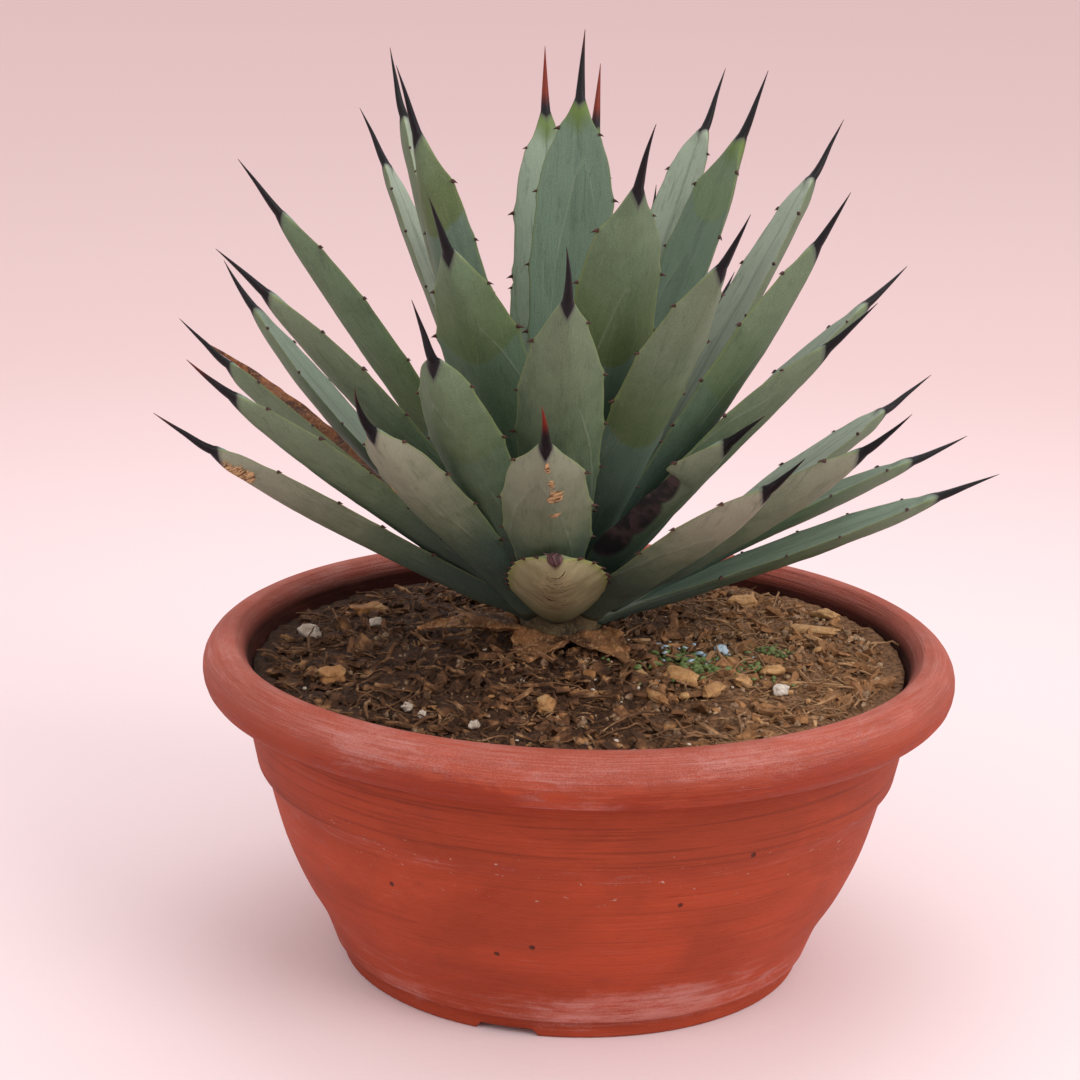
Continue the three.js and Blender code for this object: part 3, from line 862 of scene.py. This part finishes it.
def bowl_profile():
    """The bowl's section as a loop of (radius, height), walked round the CAD bowl's own edges at +Y."""
    work = bmesh.new()
    work.from_mesh(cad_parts["terracotta_bowl"].data)
    bmesh.ops.remove_doubles(work, verts=work.verts, dist=1e-5)
    flat = {v for v in work.verts if abs(v.co.x) < 1e-5 and v.co.y > 0}
    start = min(flat, key=lambda v: (round(v.co.z, 4), -v.co.y))
    loop, last, here = [start], None, start
    while True:
        onward = [e.other_vert(here) for e in here.link_edges if e.other_vert(here) in flat]
        onward = [v for v in onward if v is not last]
        if not onward:
            raise RuntimeError("the bowl's section does not close")
        if last is None:
            onward.sort(key=lambda v: -v.co.y)
        last, here = here, onward[0]
        if here is start:
            break
        loop.append(here)
    profile = np.array([(v.co.y, v.co.z) for v in loop])
    work.free()
    return profile


def fine_profile(profile):
    """The loop with its smooth runs curved, its sharp corners slightly rounded and its steps even."""
    count = len(profile)
    before, after = unit(profile - np.roll(profile, 1, 0)), unit(np.roll(profile, -1, 0) - profile)
    turn = np.arccos(np.clip(np.sum(before * after, axis=1), -1, 1))
    ledge = [min(abs(z - edge) for edge in LEDGE) < 2e-4 for z in profile[:, 1]]
    corners = [i for i in range(count) if turn[i] > SHARP_TURN or (ledge[i] and turn[i] > 0.2)]
    out = []
    for k, first in enumerate(corners):
        last = corners[(k + 1) % len(corners)]
        run = profile[np.arange(first, last + 1 if last > first else last + count + 1) % count]
        steps = np.concatenate([[0], np.cumsum(np.linalg.norm(np.diff(run, axis=0), axis=1))])
        total = steps[-1]
        trim = min(EDGE_ROUND, total * 0.25)
        at = np.linspace(trim, total - trim, max(2, int(total / PROFILE_STEP)))
        if len(run) > 2:
            out.extend(smooth_through(steps, run, at))
        else:
            out.extend(run[0] + np.outer(at / total, run[1] - run[0]))
        out.append(0.5 * run[-1] + 0.25 * (out[-1] + run[-1] + trim * after[last]))
    return np.array(out)


# Patches of lime and damp: kind, place and reach
SPOTS = [
    ("lime", (-0.075, -0.130, 0.122), 0.045),
    ("lime", (-0.005, -0.150, 0.118), 0.040),
    ("lime", (0.008, -0.149, 0.1135), 0.022),
    ("lime", (0.005, -0.095, 0.012), 0.042),
    ("lime", (0.043, -0.085, 0.016), 0.035),
    ("lime", (0.060, -0.137, 0.124), 0.050),
    ("lime", (-0.110, 0.100, 0.120), 0.060),
    ("lime", (0.080, 0.110, 0.020), 0.070),
    ("damp", (-0.070, -0.133, 0.1155), 0.035),
    ("damp", (-0.044, -0.143, 0.1150), 0.030),
    ("damp", (0.093, -0.118, 0.1160), 0.045),
    ("damp", (0.018, -0.149, 0.1135), 0.016),
    ("damp", (0.100, 0.110, 0.1160), 0.050),
]


def bowl_material():
    settings = bpy.context.scene.agave_bowl
    material, t, shader, place = new_material("terracotta")
    height, inside = t.attribute("height"), t.attribute("inside")
    lines = t.noise(t.stretched(place, 9.0, 9.0, 620.0), 1.0, 5.0, 0.7)
    fine_lines = t.noise(t.stretched(place, 40.0, 40.0, 2600.0), 1.0, 3.0, 0.6)
    grain = t.noise(place, 1900.0, 3.0, 0.65)
    patch = t.noise(t.stretched(place, 1.0, 1.0, 2.2), 17.0, 4.0, 0.6, 0.6)
    smear = t.noise(t.stretched(place, 1.0, 1.0, 4.0), 46.0, 4.0, 0.65, 0.8)
    clay = t.mix(t.step(patch, 0.30, 0.72), shade(settings.clay, 0.84), shade(settings.clay, 1.12))
    clay = t.mix(t.step(lines, 0.46, 0.30) * 0.42, clay, shade(settings.clay, 0.58))
    # saturated damp clay on the lower rim and in patches
    on_rim = t.step(height, 0.1105, 0.1135)
    low_rim = on_rim * t.step(height, 0.1245, 0.1185)
    spots = {"lime": 0.0, "damp": 0.0}
    for kind, (x, y, z), size in SPOTS:
        away = t.vector_math("DISTANCE", t.stretched(place, 1.0, 1.0, 2.0), (x, y, 2 * z), output=1)
        spots[kind] = t.step(away, size, 0.0) + spots[kind]
    damp = t.step(smear + low_rim * 0.12 + spots["damp"] * 0.26, 0.60, 0.70)
    clay = t.mix(damp * 0.8, clay, settings.deep)
    # lime haze: on the rim, along the ledge and near the foot
    ledge = t.step(height, 0.0740, 0.0775) * t.step(height, 0.0850, 0.0810)
    low = t.step(height, 0.034, 0.012) * t.step(height, 0.0, 0.008)
    crown = on_rim * t.step(height, 0.118, 0.130)
    where = crown * 0.08 + ledge * 0.08 + low * 0.10 - low_rim * 0.05 + spots["lime"] * 0.13
    haze = t.step(patch * 0.35 + smear * 0.45 + where + lines * 0.30 + (grain - 0.5) * 0.30, 0.62, 0.88)
    clay = t.mix(haze * 0.60, clay, settings.lime)
    film = t.step(fine_lines * 0.6 + lines * 0.4 + where * 0.6, 0.56, 0.85)
    clay = t.mix(film * 0.22, clay, settings.lime)
    # lime on the rim's top, made stronger to act as a painted highlight on the rolled rim
    chalk_and_sheen = t.step(fine_lines * 0.5 + grain * 0.5, 0.42, 0.62)
    clay = t.mix(crown * (0.12 + 0.22 * chalk_and_sheen), clay, settings.lime)
    # painted shadow of the rolled rim on the band below it, deeper along the throwing lines
    shaded = t.step(height, 0.081, 0.0835) * (1 - on_rim)
    clay = t.mix(shaded * (0.18 + 0.5 * t.step(lines, 0.5, 0.35)), clay, shade(settings.clay, 0.5))
    # flakes of lime under the ledge, dark specks, and the stained inner wall
    flake = t.step(t.noise(t.stretched(place, 1.0, 1.0, 1.8), 260.0, 3.0, 0.7), 0.66, 0.72)
    by_ledge = t.step(height, 0.062, 0.074) * t.step(height, 0.092, 0.080)
    clay = t.mix(flake * by_ledge * 0.75, clay, (0.62, 0.42, 0.36))
    pits = t.node("ShaderNodeTexVoronoi", None, {"Vector": place, "Scale": 75.0})
    chosen = t.node("ShaderNodeTexVoronoi", None, {"Vector": place, "Scale": 75.0}, output=1)
    rare = t.step(t.vector_math("DOT_PRODUCT", chosen, (1.0, 0.0, 0.0), output=1), 0.93, 0.94)
    speck = t.step(pits + (grain - 0.5) * 0.05, 0.10, 0.055) * rare
    clay = t.mix(speck * 0.9, clay, (0.055, 0.014, 0.008))
    clay = t.mix(t.step(grain, 0.42, 0.22) * 0.22, clay, shade(settings.clay, 0.5))
    soiled = inside * (0.88 + 0.12 * t.step(patch, 0.35, 0.6))
    clay = t.mix(soiled, clay, settings.stained)
    rough = 0.66 + haze * 0.14 - damp * 0.16 + (grain - 0.5) * 0.14 + soiled * 0.30
    relief = lines * (0.8 + 0.9 * on_rim) + fine_lines * 0.35 + grain * 0.24 - speck * 0.8 + flake * 0.2
    finish_surface(t, shader, clay, rough, relief, 0.0008)
    return material


class AGAVE_OT_bowl(bpy.types.Operator):
    """Turn the terracotta bowl, with its rolled rim, ledge, foot and drain notches"""
    bl_idname = "agave.bowl"
    bl_label = "Bowl"

    def execute(self, context):
        profile = fine_profile(bowl_profile())
        count = len(profile)
        angles = np.linspace(0, 2 * math.pi, TURNS, endpoint=False)
        radius, height = np.tile(profile[:, 0], TURNS), np.tile(profile[:, 1], TURNS)
        turn = np.repeat(angles, count)
        wave = np.stack([np.cos(turn) * radius, np.sin(turn) * radius, height], axis=1)
        drift = WANDER * ripple(wave, WANDER_SIZE, 4)
        level = height.copy()
        for heading in NOTCHES:
            aside = np.abs(np.sin(turn - math.radians(heading)) * radius)
            ahead = np.cos(turn - math.radians(heading)) > 0
            open_here = ahead & (aside < NOTCH_HALF) & (level < NOTCH_HEIGHT)
            level[open_here] = NOTCH_HEIGHT
        points = np.stack([np.cos(turn) * (radius + drift), np.sin(turn) * (radius + drift), level], axis=1)
        faces = []
        for i in range(TURNS):
            j = (i + 1) % TURNS
            for k in range(count):
                n = (k + 1) % count
                faces.append((i * count + k, j * count + k, j * count + n, i * count + n))
        top = int(np.argmax(profile[:, 1]))
        depth = profile[top, 1] - profile[:, 1]
        walled = (np.arange(count) > top) & (profile[:, 1] > INNER_FLOOR)
        inside = np.tile(np.where(walled, np.clip((depth - 0.002) / 0.006, 0, 1), 0), TURNS)
        attributes = {"height": height, "inside": inside}
        piece = new_piece("bowl_skin", points, faces, bowl_material(), attributes)
        settle(piece, "terracotta", "terracotta_bowl")
        return {"FINISHED"}


# ---------------------------------------------------------------- soil

SOIL_TURNS = 300
SOIL_STEP = 0.0015
SOIL_LIFT = 0.0015  # how far the lumps stand above the CAD soil
SOIL_HEAP, SOIL_REACH = 0.0032, 0.13  # extra height at the right-hand edge, and where that edge is
LUMPS = ((0.017, 0.55), (0.0065, 0.40), (0.0028, 0.25))  # widths of the lumps and shares of their height
FIELD_STEPS = 60  # points each way in the field that loose pieces are strewn over


@functools.lru_cache(maxsize=None)
def soil_section():
    """(radius, height) of the soil's top from the middle out, and of its side and underside going in."""
    points = mesh_points("soil")
    flat = points[(np.abs(points[:, 0]) < 2e-5) & (points[:, 1] < -0.03)]
    pairs = np.stack([-flat[:, 1], flat[:, 2]], axis=1)
    edge = pairs[np.argmax(pairs[:, 0])]
    top = pairs[pairs[:, 1] >= edge[1] - 1e-5]
    top = top[np.argsort(top[:, 0])]
    side = pairs[pairs[:, 1] < edge[1] - 1e-5]
    return top, side[np.argsort(-side[:, 1])]


def soil_height(x, y):
    """The soil's level before its lumps: it is piled a little higher at the right."""
    top, _ = soil_section()
    radius = np.hypot(x, y)
    level = np.interp(radius, top[:, 0], top[:, 1])
    return level + SOIL_LIFT + SOIL_HEAP * np.clip(x / SOIL_REACH, 0, 1) * np.clip(radius / SOIL_REACH, 0, 1)


def soil_material():
    material, t, shader, place = new_material("potting soil")
    crumbs = t.noise(place, 520.0, 5.0, 0.7, 0.4)
    fine = t.noise(place, 2300.0, 3.0, 0.65)
    tone = t.noise(place, 60.0, 3.0, 0.6, 0.5)
    strands = t.noise(t.stretched(place, 1.0, 0.25, 1.0), 900.0, 4.0, 0.7, 1.2)
    soil = t.mix(t.step(crumbs, 0.35, 0.62), (0.020, 0.010, 0.006), (0.125, 0.058, 0.030))
    soil = t.mix(t.step(strands, 0.55, 0.72) * 0.75, soil, (0.200, 0.105, 0.055))
    soil = t.mix(t.step(tone, 0.45, 0.7) * 0.35, soil, (0.130, 0.066, 0.036))
    # lighter and more orange to the right, darker to the left: painted light where the key light falls from
    # the right, and painted shade on the left
    parts = t.node("ShaderNodeSeparateXYZ", None, {0: place})
    dry = t.step(parts + (tone - 0.5) * 0.08, 0.010, 0.075)
    dried = t.mix(t.step(crumbs, 0.35, 0.6), (0.110, 0.050, 0.024), (0.380, 0.200, 0.095))
    soil = t.mix(dry * 0.75, soil, dried)
    soil = t.mix(t.step(parts, 0.0, -0.080) * 0.4, soil, (0.020, 0.010, 0.006))
    soil = t.mix(t.step(fine, 0.66, 0.74) * 0.8, soil, (0.40, 0.26, 0.16))
    soil = t.mix(t.step(fine, 0.40, 0.22) * 0.6, soil, (0.014, 0.008, 0.005))
    finish_surface(t, shader, soil, 0.88 - strands * 0.12, crumbs + strands * 0.4 + fine * 0.3, 0.0016)
    return material


def piece_material(name, tones, rough=0.8, scale=900.0):
    """Bark, fibre, grit or granule: three tones that change from piece to piece and over each."""
    material, t, shader, place = new_material(name)
    which = t.noise(place, 130.0, 2.0, 0.6)
    grain = t.noise(t.stretched(place, 1.0, 0.3, 1.0), scale, 4.0, 0.7, 0.6)
    fine = t.noise(place, 3200.0, 2.0, 0.6)
    skin = t.mix(t.step(which, 0.38, 0.52), tones[0], tones[1])
    skin = t.mix(t.step(which, 0.54, 0.66), skin, tones[2])
    # lighter to the right and darker to the left, as over the soil: painted light from the right-hand key
    # light and painted shade on the left
    across = t.node("ShaderNodeSeparateXYZ", None, {0: place})
    skin = t.mix(t.step(across, 0.010, 0.080) * 0.45, skin, shade(tones[2], 1.2))
    skin = t.mix(t.step(across, 0.0, -0.080) * 0.40, skin, tones[0])
    skin = t.mix(t.step(grain, 0.50, 0.30) * 0.55, skin, shade(tones[0], 0.35))
    skin = t.mix(t.step(fine, 0.55, 0.8) * 0.25, skin, shade(tones[2], 1.5))
    finish_surface(t, shader, skin, rough + (grain - 0.5) * 0.2, grain + fine * 0.3, 0.0005)
    return material


def scatter_tree(name, shape):
    """Copies of one small shape strewn over a surface, then roughened so that no two are alike.
    shape adds the nodes of the small shape, one unit long, and gives back its Value."""
    group, t, given = new_group(
        name, ("Density", "Float"), ("Smallest", "Float"), ("Largest", "Float"), ("Tilt", "Float"),
        ("Warp", "Float"), ("Warp scale", "Float"), ("Seed", "Int"), ("Material", "Material"),
    )
    surface, density, small, large, tilt, warp, warp_scale, seed, material = given
    spread = group.nodes.new("GeometryNodeDistributePointsOnFaces")
    t.feed(spread.inputs["Mesh"], surface)
    t.feed(spread.inputs["Density"], density)
    t.feed(spread.inputs["Seed"], seed)

    def chance(kind, low, high, offset):
        socket = {"FLOAT": (2, 3, 1), "FLOAT_VECTOR": (0, 1, 0)}[kind]
        return t.node(
            "FunctionNodeRandomValue", {"data_type": kind},
            {socket[0]: low, socket[1]: high, "Seed": seed + offset}, socket[2],
        )

    lean = t.vector(chance("FLOAT", -1.0, 1.0, 1) * tilt, chance("FLOAT", -1.0, 1.0, 2) * tilt,
                    chance("FLOAT", 0.0, 6.283, 3))
    bias = chance("FLOAT", 0.0, 1.0, 4)
    size = small + (large - small) * (bias ** 2.2)
    stretch = chance("FLOAT_VECTOR", (0.7, 0.6, 0.6), (1.3, 1.3, 1.3), 5)
    scale = t.vector_math("MULTIPLY", stretch, t.vector(size, size, size))
    placed = t.node(
        "GeometryNodeInstanceOnPoints", None,
        {"Points": Value(t, spread.outputs[0]), "Instance": shape(t), "Rotation": lean, "Scale": scale},
    )
    real = t.node("GeometryNodeRealizeInstances", None, {0: placed})
    swirl = t.node("ShaderNodeTexNoise", None, {"Scale": warp_scale, "Detail": 1.0}, output=1)
    offset = t.vector_math("SCALE", t.vector_math("SUBTRACT", swirl, (0.5, 0.5, 0.5)))
    t.feed(offset.socket.node.inputs["Scale"], warp)
    moved = t.node("GeometryNodeSetPosition", None, {"Geometry": real, "Offset": offset})
    return close_group(group, t, moved, material)


def chip_shape(t):
    return t.node(
        "GeometryNodeMeshCube", None,
        {"Size": (1.0, 0.55, 0.22), "Vertices X": 4, "Vertices Y": 3, "Vertices Z": 2},
    )


def splinter_shape(t):
    return t.node(
        "GeometryNodeMeshCube", None,
        {"Size": (1.0, 0.11, 0.06), "Vertices X": 5, "Vertices Y": 2, "Vertices Z": 2},
    )


def grain_shape(t):
    return t.node("GeometryNodeMeshIcoSphere", None, {"Radius": 0.5, "Subdivisions": 1})


def fibre_shape(t):
    line = t.node(
        "GeometryNodeCurveQuadraticBezier", None,
        {"Resolution": 7, "Start": (-0.5, 0.0, 0.0), "Middle": (0.0, 0.22, 0.06), "End": (0.5, -0.05, 0.02)},
    )
    ring = t.node("GeometryNodeCurvePrimitiveCircle", None, {"Resolution": 4, "Radius": 0.022})
    return t.node("GeometryNodeCurveToMesh", None, {"Curve": line, "Profile Curve": ring, "Fill Caps": True})


class AGAVE_OT_soil(bpy.types.Operator):
    """Fill the bowl with lumpy potting soil"""
    bl_idname = "agave.soil"
    bl_label = "Soil"

    def execute(self, context):
        lumps = context.scene.agave_soil.lumps
        top, side = soil_section()
        edge = top[-1]
        radii = np.linspace(SOIL_STEP, edge[0], int(edge[0] / SOIL_STEP))
        angles = np.linspace(0, 2 * math.pi, SOIL_TURNS, endpoint=False)
        rings = []
        for radius in radii:
            ring = np.stack([np.cos(angles) * radius, np.sin(angles) * radius, np.zeros(SOIL_TURNS)], axis=1)
            level = soil_height(ring[:, 0], ring[:, 1])
            coarse = sum(ripple(ring, width, i + 1) * share for i, (width, share) in enumerate(LUMPS))
            ring[:, 2] = level + lumps * coarse
            rings.append(ring)
        for radius, height in side:
            rings.append(np.stack([np.cos(angles) * radius, np.sin(angles) * radius,
                                   np.full(SOIL_TURNS, height)], axis=1))
        faces = tube_faces(len(rings), SOIL_TURNS)
        settle(new_piece("soil_skin", np.vstack(rings), faces, soil_material()), "potting_soil", "soil")
        return {"FINISHED"}


# Strewn pieces: shape, three tones, density setting, smallest and largest size, tilt, warp and its scale
STREWN = {
    "bark_chips": (chip_shape, ((0.045, 0.020, 0.010), (0.140, 0.062, 0.028), (0.380, 0.190, 0.080)),
                   "chip_density", 0.0014, 0.0095, 0.70, 0.0030, 300.0),
    "fibres": (fibre_shape, ((0.085, 0.040, 0.020), (0.200, 0.098, 0.046), (0.400, 0.235, 0.120)),
               "fibre_density", 0.003, 0.022, 0.45, 0.0060, 140.0),
    "splinters": (splinter_shape, ((0.090, 0.040, 0.018), (0.240, 0.112, 0.050), (0.500, 0.300, 0.150)),
                  "splinter_density", 0.003, 0.020, 0.50, 0.0028, 200.0),
    "grit": (grain_shape, ((0.045, 0.022, 0.012), (0.150, 0.078, 0.040), (0.440, 0.300, 0.190)),
             "grit_density", 0.0008, 0.0036, 1.5, 0.0014, 600.0),
}


class AGAVE_OT_strewn(bpy.types.Operator):
    """Strew bark chips, fibres and grit over the soil"""
    bl_idname = "agave.strewn"
    bl_label = "Bark, fibres and grit"

    def execute(self, context):
        settings = context.scene.agave_soil
        top, _ = soil_section()
        reach = top[-1, 0] - 0.004
        for seed, (name, row) in enumerate(STREWN.items()):
            shape, tones, density, small, large, tilt, warp, warp_scale = row
            n = FIELD_STEPS
            side = np.linspace(-reach, reach, n)
            points = [(x, y, soil_height(x, y) + 0.0008) for y in side for x in side]
            faces = []
            for j in range(n - 1):
                for i in range(n - 1):
                    corners = (j * n + i, j * n + i + 1, (j + 1) * n + i + 1, (j + 1) * n + i)
                    if max(math.hypot(*points[c][:2]) for c in corners) < reach:
                        faces.append(corners)
            mesh = bpy.data.meshes.new(name + " field")
            mesh.from_pydata(points, [], faces)
            base = linked(name + " field", mesh)
            values = {
                "Density": getattr(settings, density), "Smallest": small, "Largest": large, "Tilt": tilt,
                "Warp": warp, "Warp scale": warp_scale, "Seed": 11 + 7 * seed,
                "Material": piece_material(name.replace("_", " "), tones),
            }
            piece = baked("soil_" + name, base, scatter_tree(name, shape), values)
            settle(piece, "potting_soil")
        return {"FINISHED"}


# Larger bits that lie on the soil: kind, x, y, length, width, thickness, heading
BITS = [
    ("tan chip", 0.094, 0.035, 0.022, 0.007, 0.0030, 160),
    ("tan chip", -0.096, -0.039, 0.010, 0.008, 0.0045, 20),
    ("tan chip", 0.076, -0.025, 0.009, 0.006, 0.0040, 10),
    ("tan chip", -0.088, 0.052, 0.014, 0.008, 0.0040, 30),
    ("tan chip", 0.052, -0.052, 0.013, 0.006, 0.0035, 60),
    ("tan chip", -0.012, -0.074, 0.009, 0.007, 0.0050, 90),
    ("tan chip", 0.104, 0.060, 0.012, 0.006, 0.0035, 130),
    ("tan chip", 0.070, 0.075, 0.013, 0.007, 0.0040, 40),
    ("tan chip", 0.040, -0.040, 0.012, 0.008, 0.0040, 150),
    ("tan chip", 0.030, -0.062, 0.014, 0.004, 0.0030, 120),
    ("tan chip", 0.064, -0.040, 0.009, 0.007, 0.0040, 80),
    ("pebble", -0.110, 0.018, 0.009, 0.008, 0.0060, 0),
    ("pebble", 0.078, -0.048, 0.006, 0.005, 0.0045, 0),
    ("pebble", -0.084, 0.030, 0.006, 0.005, 0.0040, 50),
    ("pebble", -0.064, -0.074, 0.005, 0.004, 0.0030, 80),
    ("pebble", -0.058, -0.082, 0.004, 0.003, 0.0030, 80),
    ("pebble", -0.038, -0.092, 0.004, 0.003, 0.0030, 10),
    ("granule", 0.057, -0.005, 0.0055, 0.005, 0.0040, 0),
]
# Small crumbs strewn round a spot: kind, how many, x, y, spread across, spread deep, smallest and largest
CRUMBS = [
    ("moss", 300, 0.050, -0.022, 0.022, 0.014, 0.0014, 0.0036),
    ("moss", 36, 0.078, 0.002, 0.008, 0.007, 0.0012, 0.0034),
    ("granule", 30, 0.044, -0.014, 0.018, 0.011, 0.0014, 0.0042),
    ("pebble", 60, 0.000, 0.000, 0.090, 0.090, 0.0010, 0.0030),
    ("tan chip", 45, 0.040, -0.030, 0.075, 0.060, 0.0018, 0.0060),
]
BIT_TONES = {
    "tan chip": ((0.250, 0.110, 0.038), (0.420, 0.215, 0.085), (0.520, 0.310, 0.140)),
    "pebble": ((0.420, 0.340, 0.270), (0.580, 0.500, 0.420), (0.700, 0.640, 0.560)),
    "granule": ((0.180, 0.270, 0.360), (0.320, 0.430, 0.530), (0.520, 0.620, 0.680)),
    "moss": ((0.050, 0.078, 0.020), (0.100, 0.150, 0.042), (0.180, 0.230, 0.085)),
}


BITS_REACH = 0.122


class AGAVE_OT_bits(bpy.types.Operator):
    """Lay the larger chips, pebbles, granules and moss on the soil"""
    bl_idname = "agave.bits"
    bl_label = "Larger bits"

    def execute(self, context):
        for kind, tones in BIT_TONES.items():
            chance = random.Random(kind)
            bits = [(4, *bit[1:]) for bit in BITS if bit[0] == kind]
            for which, many, x, y, aside, deep, small, large in CRUMBS:
                for _ in range(many if which == kind else 0):
                    spot = (chance.gauss(x, aside * 0.6), chance.gauss(y, deep * 0.6))
                    if math.hypot(*spot) > BITS_REACH:
                        continue
                    size = small + (large - small) * chance.random() ** 2
                    slim = chance.uniform(0.3, 1)
                    bits.append((1, *spot, size, size * slim, size * slim * chance.uniform(0.4, 0.9),
                                 chance.uniform(0, 360)))
            work = bmesh.new()
            for index, (cuts, x, y, long, wide, thick, heading) in enumerate(bits):
                made = bmesh.ops.create_icosphere(work, subdivisions=cuts, radius=0.5)["verts"]
                lean = 0.35 * math.sin(index * 2.1)
                turn = Matrix.Rotation(math.radians(heading), 4, "Z") @ Matrix.Rotation(lean, 4, "X")
                spot = Vector((x, y, float(soil_height(x, y)) + 0.3 * thick + 0.0012))
                squareness = 0.65 if kind == "tan chip" else 0.9
                for vert in made:
                    p = Vector([math.copysign(abs(2 * c) ** squareness / 2, c) for c in vert.co])
                    rough = noise.noise(p * 2.2 + Vector((index, 0, 0))) * 0.45
                    rough += noise.noise(p * 6 + Vector((0, index, 0))) * 0.16
                    if kind == "moss":
                        rough += abs(noise.noise(p * 9 + Vector((index, index, 0)))) * 0.7
                    p *= 1 + rough
                    vert.co = turn @ Vector((p.x * long, p.y * wide, p.z * thick)) + spot
            mesh = bpy.data.meshes.new(kind)
            work.to_mesh(mesh)
            work.free()
            mesh.materials.append(piece_material(kind, tones, 0.7))
            mesh.shade_smooth()
            plural = kind if kind == "moss" else kind + "s"
            settle(linked("soil_" + plural.replace(" ", "_"), mesh), "potting_soil")
        return {"FINISHED"}


# ---------------------------------------------------------------- stage

CAMERA_YAW, CAMERA_PITCH, CAMERA_ROLL = math.radians(-0.88), math.radians(15.33), math.radians(1.43)
# name, place, size, watts, colour
LIGHTS = [
    ("softbox_right", (1.6, -1.4, 1.5), 1.7, 33.0, (1.0, 0.985, 0.96)),
    ("softbox_left", (-1.6, -1.4, 1.5), 1.6, 9.0, (1.0, 0.97, 0.96)),
    ("softbox_top", (0.2, 0.9, 2.3), 2.0, 14.0, (1.0, 0.99, 0.98)),
]
LIT_POINT = Vector((0, 0, 0.18))  # the lights face this
BACKGROUND, BACKGROUND_STRENGTH = (0.95, 0.89, 0.89, 1), 0.95
FLOOR_REACH = 14.0
SENSOR_WIDTH, NEAR_CLIP, FAR_CLIP = 36, 0.05, 60


class AGAVE_OT_stage(bpy.types.Operator):
    """Lay the floor and set the lights and the camera"""
    bl_idname = "agave.stage"
    bl_label = "Stage"

    def execute(self, context):
        settings = context.scene.agave_stage
        scene = context.scene
        material, t, shader, place = new_material("floor")
        far = t.vector_math("LENGTH", place, output=1)
        # painted light and shade: the floor's tone steps with distance from the bowl, darker a metre off and
        # paler far away, to set how bright the floor looks
        tone = t.mix(t.step(far, 0.30, 1.3), settings.floor, settings.middle)
        tone = t.mix(t.step(far, 1.3, 4.0), tone, settings.far)
        dust = t.noise(place, 240.0, 2.0, 0.5)
        finish_surface(t, shader, t.mix(dust * 0.05, tone, (0.9, 0.8, 0.8)), 0.85 + dust * 0.1, dust, 0.0001)
        mesh = bpy.data.meshes.new("floor")
        corners = [(x * FLOOR_REACH, y * FLOOR_REACH, 0) for x, y in ((-1, -1), (1, -1), (1, 1), (-1, 1))]
        mesh.from_pydata(corners, [], [(0, 1, 2, 3)])
        mesh.materials.append(material)
        linked("floor", mesh)

        for name, place, size, watts, tint in LIGHTS:
            data = bpy.data.lights.new(name, "AREA")
            data.shape, data.size, data.energy, data.color = "DISK", size, watts, tint
            light = linked(name, data)
            light.location = place
            light.rotation_euler = (LIT_POINT - Vector(place)).to_track_quat("-Z", "Y").to_euler()
        world = bpy.data.worlds.new("studio")
        world.use_nodes = True
        shade = world.node_tree.nodes["Background"]
        shade.inputs["Color"].default_value = BACKGROUND
        shade.inputs["Strength"].default_value = BACKGROUND_STRENGTH
        scene.world = world
        scene.view_settings.view_transform = "Standard"
        scene.view_settings.look = "None"

        data = bpy.data.cameras.new("camera")
        data.sensor_width = SENSOR_WIDTH
        data.lens = settings.focal_length
        data.clip_start, data.clip_end = NEAR_CLIP, FAR_CLIP
        camera = linked("camera", data)
        camera.location = (0, -settings.camera_distance, settings.camera_height)
        ahead = Vector((
            math.sin(CAMERA_YAW) * math.cos(CAMERA_PITCH),
            math.cos(CAMERA_YAW) * math.cos(CAMERA_PITCH),
            -math.sin(CAMERA_PITCH),
        ))
        turn = ahead.to_track_quat("-Z", "Y").to_matrix() @ Matrix.Rotation(CAMERA_ROLL, 3, "Z")
        camera.rotation_euler = turn.to_euler()
        scene.camera = camera
        return {"FINISHED"}


# ---------------------------------------------------------------- add-on

PIECES = (
    AGAVE_OT_bowl, AGAVE_OT_soil, AGAVE_OT_strewn, AGAVE_OT_bits, AGAVE_OT_stumps, AGAVE_OT_leaves,
    AGAVE_OT_teeth,
)
SETTINGS = {
    "agave_leaves": LeafSettings,
    "agave_bowl": BowlSettings,
    "agave_soil": SoilSettings,
    "agave_stage": StageSettings,
}


class AGAVE_PT_panel(bpy.types.Panel):
    """The plant's pieces and their sizes and colours"""
    bl_idname = "AGAVE_PT_panel"
    bl_label = "Potted agave"
    bl_space_type = "VIEW_3D"
    bl_region_type = "UI"
    bl_category = "Agave"

    def draw(self, context):
        for name, group in SETTINGS.items():
            box = self.layout.box()
            for key in group.__annotations__:
                box.prop(getattr(context.scene, name), key)
        for piece in (*PIECES, AGAVE_OT_stage):
            self.layout.operator(piece.bl_idname)


CLASSES = (*SETTINGS.values(), *PIECES, AGAVE_OT_stage, AGAVE_PT_panel)


def register():
    for cls in CLASSES:
        bpy.utils.register_class(cls)
    for name, group in SETTINGS.items():
        setattr(bpy.types.Scene, name, bpy.props.PointerProperty(type=group))


def unregister():
    for name in SETTINGS:
        delattr(bpy.types.Scene, name)
    for cls in reversed(CLASSES):
        bpy.utils.unregister_class(cls)


def main():
    register()
    bpy.ops.agave.stage()
    for piece in PIECES:
        group, name = piece.bl_idname.split(".")
        getattr(getattr(bpy.ops, group), name)()


if __name__ == "__main__":
    main()
